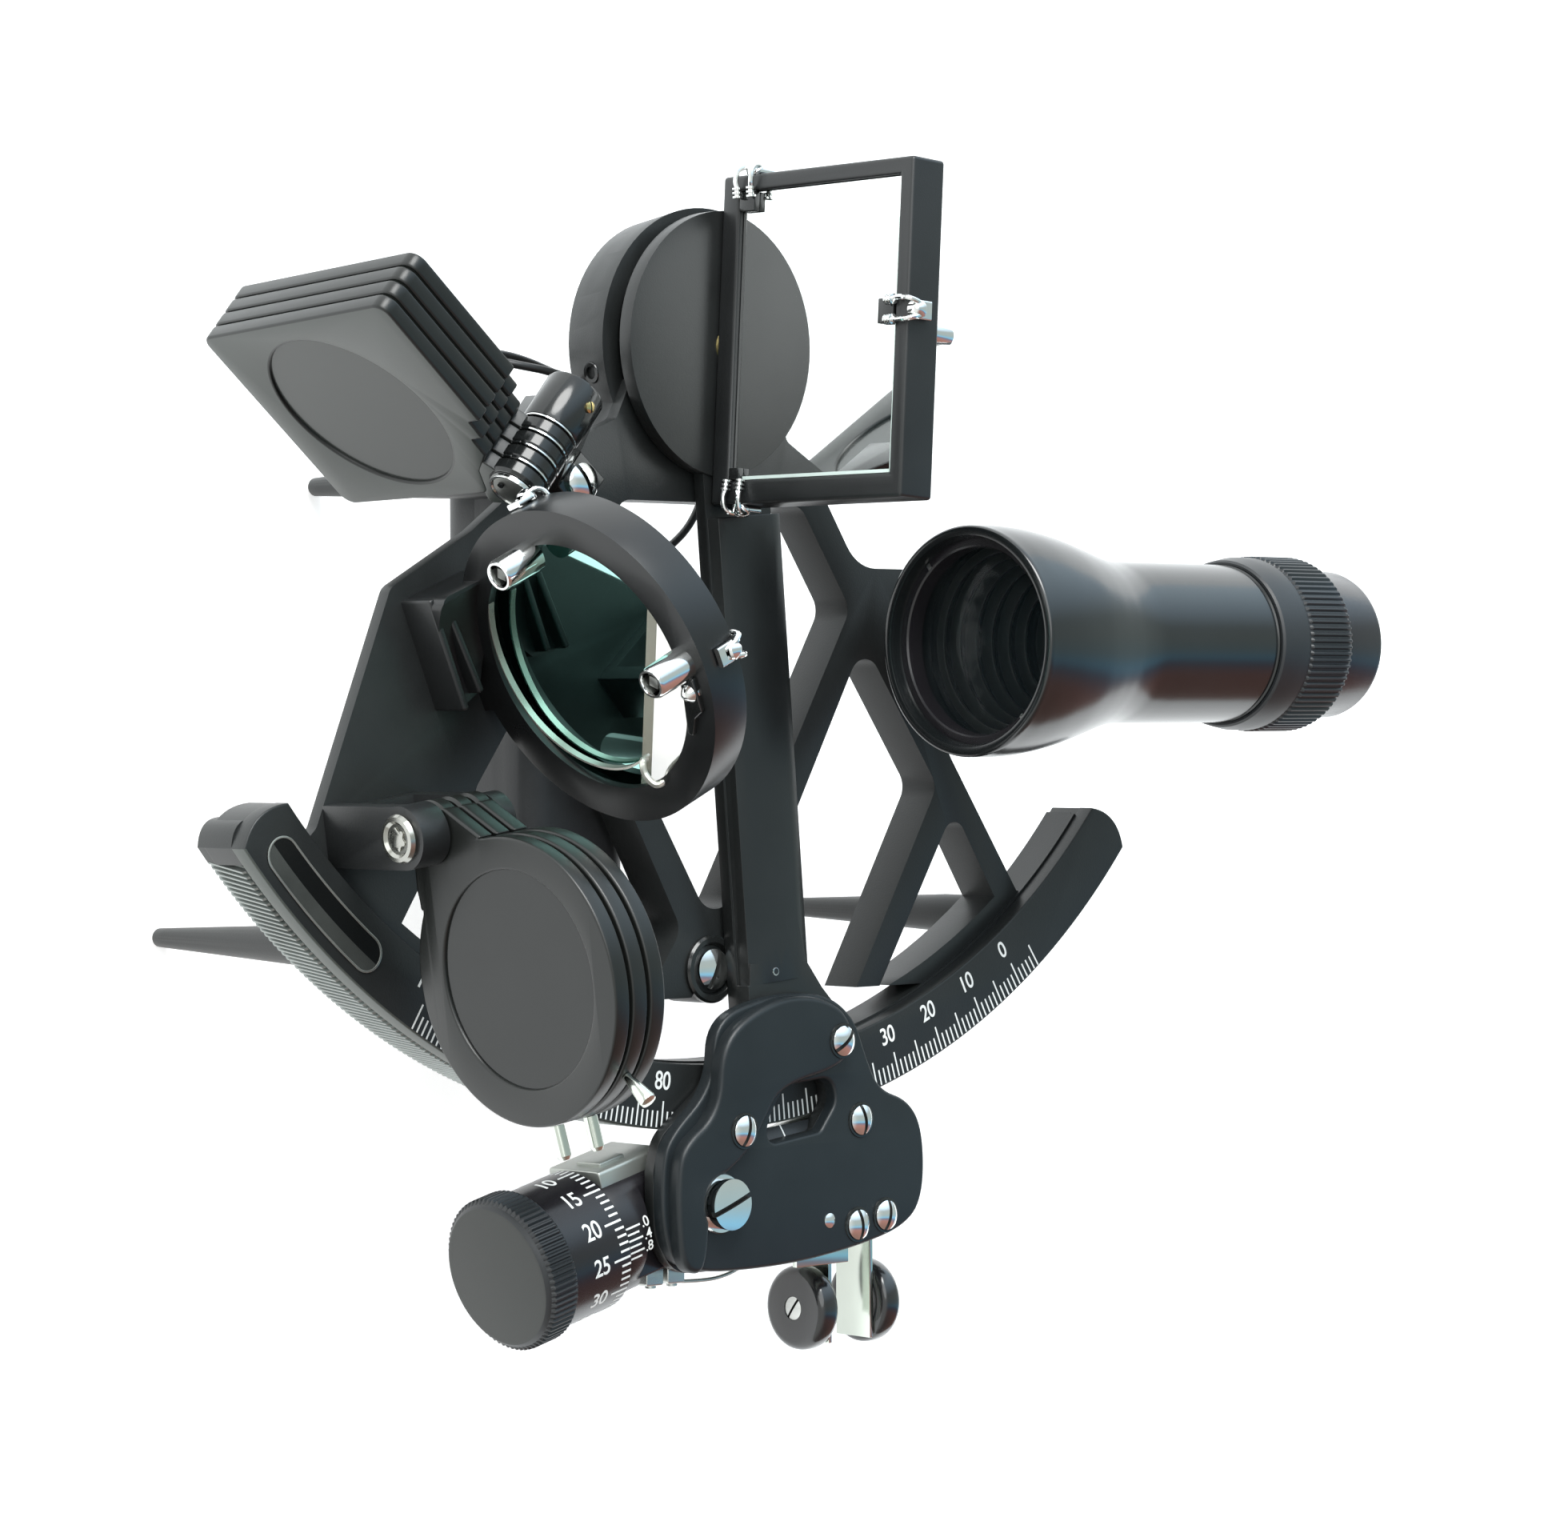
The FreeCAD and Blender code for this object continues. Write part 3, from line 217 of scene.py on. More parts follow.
# lighter copy of the dark filter glass: a painted sheen on the index shade panes
material("grey_filter", (0.026, 0.029, 0.027), 0.20, specular=0.4, patch=0.05, rough_patch=0.02)
material("cap_grey", (0.16, 0.165, 0.155), 0.35, metal=0.9, grain=0.2, grain_size=0.2)


def two_tone():
    """Blank badge: dark towards the pivot, brushed grey towards the rim."""
    made = material("badge_field", (0.075, 0.08, 0.075), 0.36, metal=0.5, grain=0.4, grain_size=0.25,
                    patch=0.2)
    nodes = made.node_tree.nodes
    links = made.node_tree.links
    shader = nodes["Principled BSDF"]
    where = nodes["Texture Coordinate"]
    centred = nodes.new("ShaderNodeVectorMath")
    centred.operation = "SUBTRACT"
    centred.inputs[1].default_value = PIVOT
    flat = nodes.new("ShaderNodeVectorMath")
    flat.operation = "MULTIPLY"
    flat.inputs[1].default_value = (1, 1, 0)
    reach = nodes.new("ShaderNodeVectorMath")
    reach.operation = "LENGTH"
    inner = nodes.new("ShaderNodeMath")
    inner.operation = "LESS_THAN"
    inner.inputs[1].default_value = 136.9 * MM
    mix = nodes.new("ShaderNodeMix")
    mix.data_type = "RGBA"
    mix.inputs[7].default_value = (0.008, 0.009, 0.009, 1)
    links.new(where.outputs["Object"], centred.inputs[0])
    links.new(centred.outputs["Vector"], flat.inputs[0])
    links.new(flat.outputs["Vector"], reach.inputs[0])
    links.new(reach.outputs["Value"], inner.inputs[0])
    links.new(inner.outputs["Value"], mix.inputs[0])
    links.new(nodes["Color Ramp"].outputs["Color"], mix.inputs[6])
    links.new(mix.outputs[2], shader.inputs["Base Color"])


two_tone()


# ---- mesh helpers ------------------------------------------------------------------------
class Shape:
    """Faces in millimetres about the pivot; each face keeps the index of its material."""

    def __init__(self):
        self.verts = []
        self.faces = []
        self.paint = []

    def add(self, part, place=None, paint=0):
        verts, faces, *dark = part
        start = len(self.verts)
        self.verts += [place @ Vector(v) if place else Vector(v) for v in verts]
        self.faces += [[start + i for i in face] for face in faces]
        # faces listed as dark (screw slots) take the next material, a painted shade
        self.paint += [paint + (i in dark[0] if dark else 0) for i in range(len(faces))]
        return self


def piece(name, shape, materials, body, replaces=(), sharp=32.0, bevel=0.0, segments=2):
    """Turn a shape into an object that rides on a body."""
    mesh = bpy.data.meshes.new(name)
    mesh.from_pydata([PIVOT + v * MM for v in shape.verts], [], shape.faces)
    for polygon, paint in zip(mesh.polygons, shape.paint):
        polygon.material_index = paint
    return dressed(name, mesh, materials, body, replaces, sharp, bevel, segments)


def dressed(name, mesh, materials, body, replaces, sharp, bevel, segments):
    """Weld, round and shade a mesh, and hang it on its body."""
    work = bmesh.new()
    work.from_mesh(mesh)
    bmesh.ops.remove_doubles(work, verts=work.verts, dist=2e-6)
    bmesh.ops.recalc_face_normals(work, faces=work.faces)
    if bevel > 0:
        edges = [e for e in work.edges if len(e.link_faces) == 2
                 and e.calc_face_angle(0.0) > math.radians(sharp)]
        bmesh.ops.bevel(work, geom=edges, offset=bevel * MM, segments=segments, profile=0.5,
                        affect="EDGES", clamp_overlap=True, loop_slide=True)
    for face in work.faces:
        face.smooth = True
    for edge in work.edges:
        edge.smooth = edge.calc_face_angle(0.0) < math.radians(sharp)
    work.to_mesh(mesh)
    work.free()
    # screws with slot faces get the painted slot shade as their second material
    if isinstance(materials, str):
        materials = [materials, "slot_painted_shade"] if any(p.material_index for p in mesh.polygons) else [materials]
    for name_of_material in materials:
        mesh.materials.append(MATERIALS[name_of_material])
    obj = bpy.data.objects.new(name, mesh)
    bpy.context.scene.collection.objects.link(obj)
    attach(obj, body)
    if replaces:
        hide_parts(*replaces)
    return obj


def softened(node, name, materials, body, bevel=0.3, segments=2, sharp=32.0):
    """Copy of a CAD node with its hard edges rounded, standing for the node."""
    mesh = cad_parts[node].data.copy()
    mesh.materials.clear()
    work = bmesh.new()
    work.from_mesh(mesh)
    bmesh.ops.remove_doubles(work, verts=work.verts, dist=2e-6)
    bmesh.ops.dissolve_limit(work, angle_limit=math.radians(0.6), verts=work.verts, edges=work.edges)
    work.to_mesh(mesh)
    work.free()
    mesh.normals_split_custom_set([(0, 0, 0)] * len(mesh.loops))
    for polygon in mesh.polygons:
        polygon.material_index = 0
    return dressed(name, mesh, materials, body, (node,), sharp, bevel, segments)


def revolve(profile, segments=96, ripple=None, closed=False):
    """Surface of revolution about Z; profile is (along, radius); ripple is (depth, first, last)."""
    verts = []
    faces = []
    rows = len(profile)
    for j in range(segments):
        turn = 2 * math.pi * j / segments
        for i, (height, radius) in enumerate(profile):
            if ripple and ripple[1] <= i <= ripple[2] and j % 4 >= 2:
                radius -= ripple[0]
            verts.append((radius * math.cos(turn), radius * math.sin(turn), height))
    last = rows if closed else rows - 1
    for j in range(segments):
        k = (j + 1) % segments
        for i in range(last):
            n = (i + 1) % rows
            faces.append([j * rows + i, k * rows + i, k * rows + n, j * rows + n])
    if not closed:
        for i in (0, rows - 1):
            if profile[i][1] > 1e-6:
                faces.append([j * rows + i for j in range(segments)])
    return verts, faces


def rounded(points, radii, steps=8):
    """Outline with arcs at its corners; radii is one number or one per corner."""
    radii = radii if isinstance(radii, (list, tuple)) else [radii] * len(points)
    outline = []
    count = len(points)
    for i in range(count):
        corner = Vector(points[i]).to_2d()
        before = (Vector(points[i - 1]).to_2d() - corner).normalized()
        after = (Vector(points[(i + 1) % count]).to_2d() - corner).normalized()
        if radii[i] <= 0:
            outline.append(corner)
            continue
        half = before.angle(after) / 2
        reach = radii[i] / math.tan(half)
        centre = corner + (before + after).normalized() * (radii[i] / math.sin(half))
        start = corner + before * reach - centre
        sweep = start.angle_signed(corner + after * reach - centre)
        for step in range(steps + 1):
            turned = start.copy()
            turned.rotate(Matrix.Rotation(-sweep * step / steps, 2))
            outline.append(centre + turned)
    return outline


def flowing(points, steps=8):
    """Closed smooth outline that rounds every corner of a polygon."""
    corners = [Vector(p).to_2d() for p in points]
    outline = []
    for i, corner in enumerate(corners):
        start = (corners[i - 1] + corner) / 2
        end = (corner + corners[(i + 1) % len(corners)]) / 2
        for step in range(steps):
            t = step / steps
            outline.append(start * (1 - t) ** 2 + corner * 2 * t * (1 - t) + end * t * t)
    return outline


def arc(radius, first, last, steps, centre=(0.0, 0.0)):
    """Points on a circle, angles in degrees from -Y towards +X."""
    middle = Vector(centre)
    return [middle + polar(radius, first + (last - first) * i / steps).to_2d() for i in range(steps + 1)]


def circle(x, y, radius, steps=48):
    return [Vector((x + radius * math.cos(2 * math.pi * i / steps),
                    y + radius * math.sin(2 * math.pi * i / steps)))
            for i in range(steps)]


def area_of(outline):
    return sum(a.x * b.y - b.x * a.y for a, b in zip(outline, outline[1:] + outline[:1])) / 2


def inset(outline, distance):
    """Outline moved to its left by a distance."""
    moved = []
    count = len(outline)
    for i in range(count):
        before = (outline[i] - outline[i - 1])
        after = (outline[(i + 1) % count] - outline[i])
        before = before.normalized() if before.length > 1e-9 else after.normalized()
        after = after.normalized() if after.length > 1e-9 else before
        normal = Vector((-before.y - after.y, before.x + after.x))
        if normal.length < 1e-6:
            normal = Vector((-after.y, after.x))
        normal.normalize()
        stretch = max(0.5, normal.dot(Vector((-after.y, after.x))))
        moved.append(outline[i] + normal * distance / stretch)
    return moved


def slab(outline, low, high, top=0.0, bottom=0.0, holes=(), steps=4):
    """Plate between two heights with rounded upper and lower edges and round or shaped holes."""
    loops = [outline if area_of(outline) > 0 else outline[::-1]]
    loops += [hole if area_of(hole) < 0 else hole[::-1] for hole in holes]
    levels = []
    if bottom > 0:
        levels += [(bottom * (1 - math.sin(math.pi / 2 * i / steps)),
                    low + bottom * (1 - math.cos(math.pi / 2 * i / steps))) for i in range(steps)]
    levels.append((0.0, low + bottom))
    levels.append((0.0, high - top))
    if top > 0:
        levels += [(top * (1 - math.cos(math.pi / 2 * i / steps)),
                    high - top * (1 - math.sin(math.pi / 2 * i / steps))) for i in range(1, steps + 1)]
    verts = []
    faces = []
    ends = ([], [])
    for loop in loops:
        base = len(verts)
        size = len(loop)
        for distance, height in levels:
            verts += [(p.x, p.y, height) for p in (inset(loop, distance) if distance > 0 else loop)]
        for row in range(len(levels) - 1):
            for i in range(size):
                k = (i + 1) % size
                faces.append([base + row * size + i, base + row * size + k,
                              base + (row + 1) * size + k, base + (row + 1) * size + i])
        ends[0].append(list(range(base, base + size)))
        top_row = base + (len(levels) - 1) * size
        ends[1].append(list(range(top_row, top_row + size)))
    for rings in ends:
        if len(rings) == 1:
            faces.append(rings[0])
            continue
        flat = [index for ring in rings for index in ring]
        triangles = tessellate_polygon([[Vector(verts[i]) for i in ring] for ring in rings])
        faces += [[flat[i] for i in triangle] for triangle in triangles]
    return verts, faces


def block(low, high):
    outline = [Vector((low[0], low[1])), Vector((high[0], low[1])), Vector((high[0], high[1])),
               Vector((low[0], high[1]))]
    return slab(outline, low[2], high[2])


def tube(points, radius, segments=12):
    """Round wire along points, with closed ends; radius may be one per point."""
    points = [Vector(p) for p in points]
    radii = radius if isinstance(radius, (list, tuple)) else [radius] * len(points)
    verts = []
    faces = []
    side = (points[1] - points[0]).orthogonal().normalized()
    for i, point in enumerate(points):
        ahead = points[min(i + 1, len(points) - 1)] - points[max(i - 1, 0)]
        ahead.normalize()
        side = (side - ahead * side.dot(ahead)).normalized()
        other = ahead.cross(side)
        for j in range(segments):
            turn = 2 * math.pi * j / segments
            verts.append(point + (side * math.cos(turn) + other * math.sin(turn)) * radii[i])
    for i in range(len(points) - 1):
        for j in range(segments):
            k = (j + 1) % segments
            faces.append([i * segments + j, i * segments + k, (i + 1) * segments + k, (i + 1) * segments + j])
    faces.append(list(range(segments))[::-1])
    faces.append([(len(points) - 1) * segments + j for j in range(segments)])
    return verts, faces


def smooth_path(points, steps=6):
    """Points along a smooth curve through the given points."""
    points = [Vector(p) for p in points]
    ends = [points[0] * 2 - points[1]] + points + [points[-1] * 2 - points[-2]]
    path = []
    for a, b, c, d in zip(ends, ends[1:], ends[2:], ends[3:]):
        for i in range(steps):
            t = i / steps
            path.append(0.5 * (2 * b + (c - a) * t + (2 * a - 5 * b + 4 * c - d) * t ** 2
                               + (3 * b - a - 3 * c + d) * t ** 3))
    return path + [points[-1]]


def dome(radius, height, crown, slot_width=0.0, slot_depth=0.0, rows=12):
    """Screw head on Z = 0: a wall, a crowned top, and a straight slot along local X; the slot's faces are
    returned to take a painted shade.
    """
    def level(x, y):
        return height - crown * (x * x + y * y) / radius ** 2

    half = slot_width / 2
    stops = [-radius * math.cos(math.pi / 2 * i / rows) for i in range(rows + 1)]
    lines = [(y, 0) for y in stops if y < -half - 1e-6]
    lines += [(-half, 0), (-half, 1), (half, 1), (half, 0)] if half > 0 else [(0.0, 0)]
    lines += [(-y, 0) for y in reversed(stops) if y < -half - 1e-6]
    verts = []
    faces = []
    across = 14
    for y, cut in lines:
        reach = math.sqrt(max(radius ** 2 - y ** 2, 0.0))
        for i in range(across + 1):
            x = -reach * math.cos(math.pi * i / across)
            z = level(x, y)
            verts.append((x, y, min(z, height - slot_depth) if cut else z))
    size = across + 1
    for row in range(len(lines) - 1):
        for i in range(across):
            faces.append([row * size + i, row * size + i + 1, (row + 1) * size + i + 1, (row + 1) * size + i])
    rim = [row * size + across for row in range(len(lines))]
    rim += [row * size for row in reversed(range(len(lines)))]
    base = len(verts)
    verts += [(verts[i][0], verts[i][1], 0.0) for i in rim]
    for i in range(len(rim)):
        k = (i + 1) % len(rim)
        faces.append([rim[i], base + i, base + k, rim[k]])
    first = [cut for y, cut in lines].index(1) - 1 if half > 0 else 0
    slot = range(first * across, (first + 3) * across) if half > 0 else ()
    return verts, faces, slot


def spun(place, degrees):
    return place @ Matrix.Rotation(math.radians(degrees), 4, "Z")


def lettering(text, height, bold=0.0, squeeze=0.86, cuts=0):
    """Flat digits in the local XY plane, centred, with a little thickness."""
    curve = bpy.data.curves.new("digits", "FONT")
    curve.body = text
    curve.size = height / 0.71
    curve.align_x = "CENTER"
    curve.align_y = "CENTER"
    curve.extrude = 0.03
    curve.offset = bold
    curve.space_character = 0.95
    curve.resolution_u = 6
    holder = bpy.data.objects.new("digits", curve)
    bpy.context.scene.collection.objects.link(holder)
    bpy.context.view_layer.update()
    mesh = bpy.data.meshes.new_from_object(holder.evaluated_get(bpy.context.evaluated_depsgraph_get()))
    if cuts:
        fine = bmesh.new()
        fine.from_mesh(mesh)
        bmesh.ops.subdivide_edges(fine, edges=[e for e in fine.edges if e.calc_length() > 0.5], cuts=cuts)
        bmesh.ops.triangulate(fine, faces=fine.faces[:])
        fine.to_mesh(mesh)
        fine.free()
    verts = [(v.co.x * squeeze, v.co.y, v.co.z) for v in mesh.vertices]
    faces = [list(p.vertices) for p in mesh.polygons]
    bpy.data.objects.remove(holder)
    bpy.data.curves.remove(curve)
    bpy.data.meshes.remove(mesh)
    return verts, faces


def wrapped(part, radius, turn, distance):
    """Bend flat marks (X along the axis, Y round the drum) onto a cylinder about Z."""
    verts, faces = part
    bent = []
    for x, y, z in verts:
        angle = -turn - y / radius
        bent.append(((radius + z) * math.cos(angle), (radius + z) * math.sin(angle), distance + x))
    return bent, faces


def flat_at(origin, angle=0.0):
    """Local axes that lie in the limb plane, turned by an angle."""
    return axes(origin, heading(angle), heading(angle + 90))


# ---- camera, light and floor -------------------------------------------------------------
def studio():
    scene = bpy.context.scene
    scene.view_settings.view_transform = "Standard"
    camera = bpy.data.cameras.new("camera")
    camera.lens = 109.0
    camera.sensor_width = 36.0
    camera.clip_start = 0.05
    camera.clip_end = 20.0
    holder = bpy.data.objects.new("camera", camera)
    scene.collection.objects.link(holder)
    right = Vector((0.7145, -0.0034, 0.6996))
    back = Vector((-0.6996, 0.0115, 0.7145)).normalized()
    up = back.cross(right).normalized()
    turn = Matrix((up.cross(back), up, back)).transposed().to_4x4()
    holder.matrix_world = Matrix.Translation(at(-594.46, -64.93, 620.95)) @ turn
    scene.camera = holder

    world = bpy.data.worlds.new("room")
    scene.world = world
    world.use_nodes = True
    nodes = world.node_tree.nodes
    links = world.node_tree.links
    sky = nodes["Background"]
    sky.inputs["Strength"].default_value = 1.0
    where = nodes.new("ShaderNodeTexCoord")
    parts = nodes.new("ShaderNodeSeparateXYZ")
    links.new(where.outputs["Generated"], parts.inputs["Vector"])
    height = nodes.new("ShaderNodeMapRange")
    height.inputs["From Min"].default_value = -1.0
    links.new(parts.outputs["Y"], height.inputs["Value"])
    bands = nodes.new("ShaderNodeValToRGB")
    tones = (
        (0.0, (0.30, 0.26, 0.24)), (0.12, (0.34, 0.20, 0.16)), (0.27, (0.50, 0.25, 0.21)),
        (0.345, (0.24, 0.26, 0.36)),
        (0.385, (0.30, 0.68, 0.95)), (0.44, (0.42, 0.58, 0.62)), (0.53, (0.50, 0.58, 0.56)),
        (0.62, (0.50, 0.58, 0.58)),
        (0.72, (0.95, 1.2, 1.4)), (0.82, (1.4, 1.75, 2.0)), (1.0, (1.5, 1.6, 1.7)),
    )
    for place, tone in tones[2:]:
        bands.color_ramp.elements.new(place)
    for element, (place, tone) in zip(bands.color_ramp.elements, tones):
        element.position = place
        element.color = (*tone, 1)
    links.new(height.outputs["Result"], bands.inputs["Fac"])
    side = nodes.new("ShaderNodeMapRange")
    side.inputs["From Min"].default_value = 0.05
    side.inputs["From Max"].default_value = -0.75
    side.interpolation_type = "SMOOTHSTEP"
    links.new(parts.outputs["X"], side.inputs["Value"])
    blend = nodes.new("ShaderNodeMix")
    blend.data_type = "RGBA"
    blend.inputs[7].default_value = (1.0, 1.03, 1.0, 1)
    links.new(side.outputs["Result"], blend.inputs[0])
    links.new(bands.outputs["Color"], blend.inputs[6])
    links.new(blend.outputs[2], sky.inputs["Color"])

    lamps = (
        ("key", (-500, 1500, 900), 0.55, 3.0, (1.0, 1.0, 0.98)),
        ("fill", (-900, 600, 900), 0.9, 1.25, (0.95, 0.98, 1.0)),
    )
    for name, spot, spread, power, colour in lamps:
        lamp = bpy.data.lights.new(name, "SUN")
        lamp.angle = spread
        lamp.energy = power
        lamp.color = colour
        obj = bpy.data.objects.new(name, lamp)
        scene.collection.objects.link(obj)
        aim = at(0, -60, 0) - at(*spot)
        obj.matrix_world = Matrix.Translation(at(*spot)) @ aim.to_track_quat("-Z", "Y").to_matrix().to_4x4()

    ground = bpy.data.materials.new("floor")
    ground.use_nodes = True
    shader = ground.node_tree.nodes["Principled BSDF"]
    shader.inputs["Base Color"].default_value = (0.86, 0.86, 0.855, 1)
    shader.inputs["Roughness"].default_value = 0.9
    shader.inputs["Emission Color"].default_value = (1.0, 1.0, 0.99, 1)
    shader.inputs["Emission Strength"].default_value = 0.56
    mesh = bpy.data.meshes.new("floor")
    half = 4.0
    level = cad_bounds[0][2] - 0.0005
    mesh.from_pydata([(-half, -half, level), (half, -half, level), (half, half, level), (-half, half, level)],
                     [], [(0, 1, 2, 3)])
    mesh.materials.append(ground)
    floor = bpy.data.objects.new("floor", mesh)
    scene.collection.objects.link(floor)


# ---- frame, grip and legs ----------------------------------------------------------------
def frame_parts():
    softened("frame_casting", "casting", "casting_paint", "frame", bevel=0.45, segments=3)
    softened("legs", "leg_posts", "casting_paint", "frame", bevel=0.2)
    softened("grip_front_shell", "grip_front", "grip_black", "frame", bevel=0.6, segments=3)
    softened("grip_rear_shell", "grip_rear", "grip_black", "frame", bevel=0.6, segments=3)
    softened("grip_brackets", "grip_straps", "casting_paint", "frame", bevel=0.3)
    softened("battery_cap", "grip_cap", "anodised_matt", "frame", bevel=0.4)
    softened("lamp_button", "button", "knuckle_black", "lamp_button", bevel=0.5, segments=3)

    ribs = Shape()
    for i in range(14):
        y = -104.0 + i * 4.6
        ribs.add(slab(rounded([(-33.0, y), (-14.0, y), (-14.0, y + 1.8), (-33.0, y + 1.8)], 0.7, 4),
                      -42.7, -41.9, bottom=0.4))
    piece("grip_ribs", ribs, "grip_black", "frame")

    fittings = Shape()
    for y in (-35.5, -104.0):
        place = axes((-23.5, y, -42.0), (1, 0, 0), (0, -1, 0))
        fittings.add(dome(3.2, 1.8, 0.6, 0.9, 0.8), spun(place, 25))
    boss = axes((-1.5, -113.0, FACE), (1, 0, 0), (0, 1, 0))
    fittings.add(dome(3.7, 1.9, 0.8, 0.9, 0.9), spun(boss, 68))
    fittings.add(dome(1.7, 0.9, 0.3, 0.5, 0.5), axes((6.4, 5.8, -2.9), (1, 0, 0), (0, 1, 0)))
    piece("frame_screws", fittings, "chrome", "frame", replaces=("grip_screws",))

    rim = Shape()
    rim.add(revolve([(-0.2, 6.2), (0.6, 6.2), (1.0, 5.8), (1.0, 4.9), (0.0, 4.3), (-0.2, 4.3)], 64,
                    closed=True), boss)
    outward = heading(193)
    side = along(outward * 24.65 + Vector((0, 0, -10.4)), outward)
    rim.add(revolve([(-0.8, 1.15), (0.35, 1.15), (0.35, 1.8), (0.0, 2.0), (-0.8, 2.0)], 40, closed=True),
            side)
    piece("frame_rims", rim, "knuckle_black", "frame")


# ---- limb --------------------------------------------------------------------------------
def sector(inner, outer, first, last, bulge, steps=160):
    """Outline of a ring sector whose ends stand out by a few tenths of a degree."""
    mean = (inner + outer) / 2
    outline = arc(outer, first, last, steps)
    for end, sign, order in ((last, 1, (outer, inner)), (first, -1, (inner, outer))):
        if sign < 0:
            outline += arc(inner, last, first, steps)
        for i in range(1, 12):
            t = i / 12
            radius = order[0] + (order[1] - order[0]) * t
            swell = bulge * (1 - ((radius - mean) / (outer - mean)) ** 2)
            outline.append(polar(radius, end + sign * swell).to_2d())
    return outline


def rack_band(outer, inner, low, high, first, last, pitch=0.5):
    """Slanted teeth round the rim."""
    columns = []
    count = int((last - first) / pitch)
    lean = math.degrees(1.15 / outer)
    depth = 0.8
    for i in range(count):
        start = first + i * pitch
        columns += [(start, outer - depth), (start + 0.34 * pitch, outer - depth),
                    (start + 0.5 * pitch, outer), (start + 0.84 * pitch, outer)]
    columns.append((first + count * pitch, outer - depth))
    rows = ((low, -0.45, -1.0), (low + 0.5, 0.0, -0.9), (high - 0.5, 0.0, 0.9), (high, -0.45, 1.0))
    verts = []
    faces = []
    for angle, radius in columns:
        for height, ease, slant in rows:
            verts.append(polar(radius + ease, angle + lean * slant, height))
        verts.append(polar(inner, angle + lean, high))
        verts.append(polar(inner, angle - lean, low))
    for i in range(len(columns) - 1):
        a, b = i * 6, (i + 1) * 6
        for k, n in ((0, 1), (1, 2), (2, 3), (3, 4), (4, 5), (5, 0)):
            faces.append([a + k, a + n, b + n, b + k])
    end = (len(columns) - 1) * 6
    faces += [[0, 1, 2, 3, 4, 5], [end + k for k in (5, 4, 3, 2, 1, 0)]]
    return verts, faces


def limb():
    shape = Shape()
    shape.add(slab(sector(ARC_INNER, ARC_RADIUS, ARC_LEFT, ARC_RIGHT, END_BULGE), -3.5, 0.0, top=0.35,
                   bottom=0.2))
    shape.add(slab(sector(129.6, ARC_RADIUS - 2.0, ARC_LEFT + 0.8, ARC_RIGHT - 0.8, 0.0), -4.5, -3.5))
    shape.add(slab(sector(129.6, ARC_RADIUS - 5.0, ARC_LEFT + 0.7, ARC_RIGHT - 0.7, 0.0), CASTING_DEPTH,
                   -4.5))
    low, high = LIMB_DEPTH, -4.5
    left, right = ARC_LEFT + 1.5, ARC_RIGHT - 1.5
    for first, last in ((ARC_LEFT, left), (right, ARC_RIGHT)):
        shape.add(slab(sector(ARC_INNER + 0.1, ARC_RADIUS - 0.05, first, last, END_BULGE - 0.02),
                       CASTING_DEPTH, -0.4, bottom=0.4))
        outline = sector(ARC_RADIUS - 8.0, ARC_RADIUS - 0.1, first, last, 0.0, 8)
        if first == ARC_LEFT:
            outline = [p for p in outline if math.degrees(math.atan2(p.x, -p.y)) > ARC_LEFT + 0.01]
            outline += [polar(134.0 + 7.9 * t, ARC_LEFT - END_BULGE * (1 - (2 * t - 1) ** 2)).to_2d()
                        for t in [i / 12 for i in range(13)]]
        else:
            outline = [p for p in outline if math.degrees(math.atan2(p.x, -p.y)) < ARC_RIGHT - 0.01]
            bulged = [polar(141.9 - 7.9 * t, ARC_RIGHT + END_BULGE * (1 - (2 * t - 1) ** 2)).to_2d()
                      for t in [i / 12 for i in range(13)]]
            split = max(i for i, p in enumerate(outline) if p.length > 141.0) + 1
            outline = outline[:split] + bulged + outline[split:]
        shape.add(slab(outline, low, high + 0.9, bottom=0.4))
    before = len(shape.faces)
    shape.add(rack_band(ARC_RADIUS - 0.05, ARC_RADIUS - 8.0, low, high, left - 0.05, right + 0.05), paint=2)
    for i in range(before):
        ring = [shape.verts[k] for k in shape.faces[i]]
        middle = sum(ring, Vector()) / len(ring)
        flat = math.hypot(middle.x, middle.y)
        if flat > ARC_RADIUS - 0.33 and middle.z > -3.4:
            shape.paint[i] = 1
    piece("limb", shape, ["casting_paint", "rim_metal", "rack_metal"], "frame",
          replaces=("limb_arc",), sharp=28)

    marks = Shape()
    width = 0.17
    for degree in range(-5, 131):
        angle = ZERO_ANGLE - degree / 2.0
        inner = 136.9 if degree % 5 == 0 else 138.7
        if angle < BADGE_EDGE:
            continue
        place = axes((0, 0, 0), heading(angle), heading(angle + 90))
        marks.add(block((-width, -141.62, -0.02), (width, -inner, 0.035)), place)
    for degree in range(0, 131, 10):
        angle = ZERO_ANGLE - degree / 2.0 - 0.25
        place = flat_at(polar(133.4, angle, 0.0), angle)
        marks.add(lettering(str(degree), 3.3, bold=0.045), place)
    piece("limb_marks", marks, "marking", "frame")

    middle, half, first, last = 136.6, 3.3, -48.9, -38.6
    def stadium(reach):
        outline = arc(middle + reach, first, last, 24)
        centre = polar(middle, last).to_2d()
        outline += [centre + polar(reach,
                                   last).to_2d() * math.cos(a) + heading(last).to_2d() * reach * math.sin(a)
                    for a in (math.pi * i / 14 for i in range(1, 14))]
        outline += arc(middle - reach, last, first, 24)
        centre = polar(middle, first).to_2d()
        outline += [centre - polar(reach,
                                   first).to_2d() * math.cos(a) - heading(first).to_2d() * reach * math.sin(a)
                    for a in (math.pi * i / 14 for i in range(1, 14))]
        return outline
    badge = Shape()
    badge.add(slab(stadium(half), -0.05, 0.18))
    badge.add(slab(stadium(half), -0.05, 0.30, top=0.1, holes=[stadium(half - 0.42)], steps=2), paint=1)
    piece("badge", badge, ["badge_field", "plate_rim"], "frame", replaces=("name_plate",))


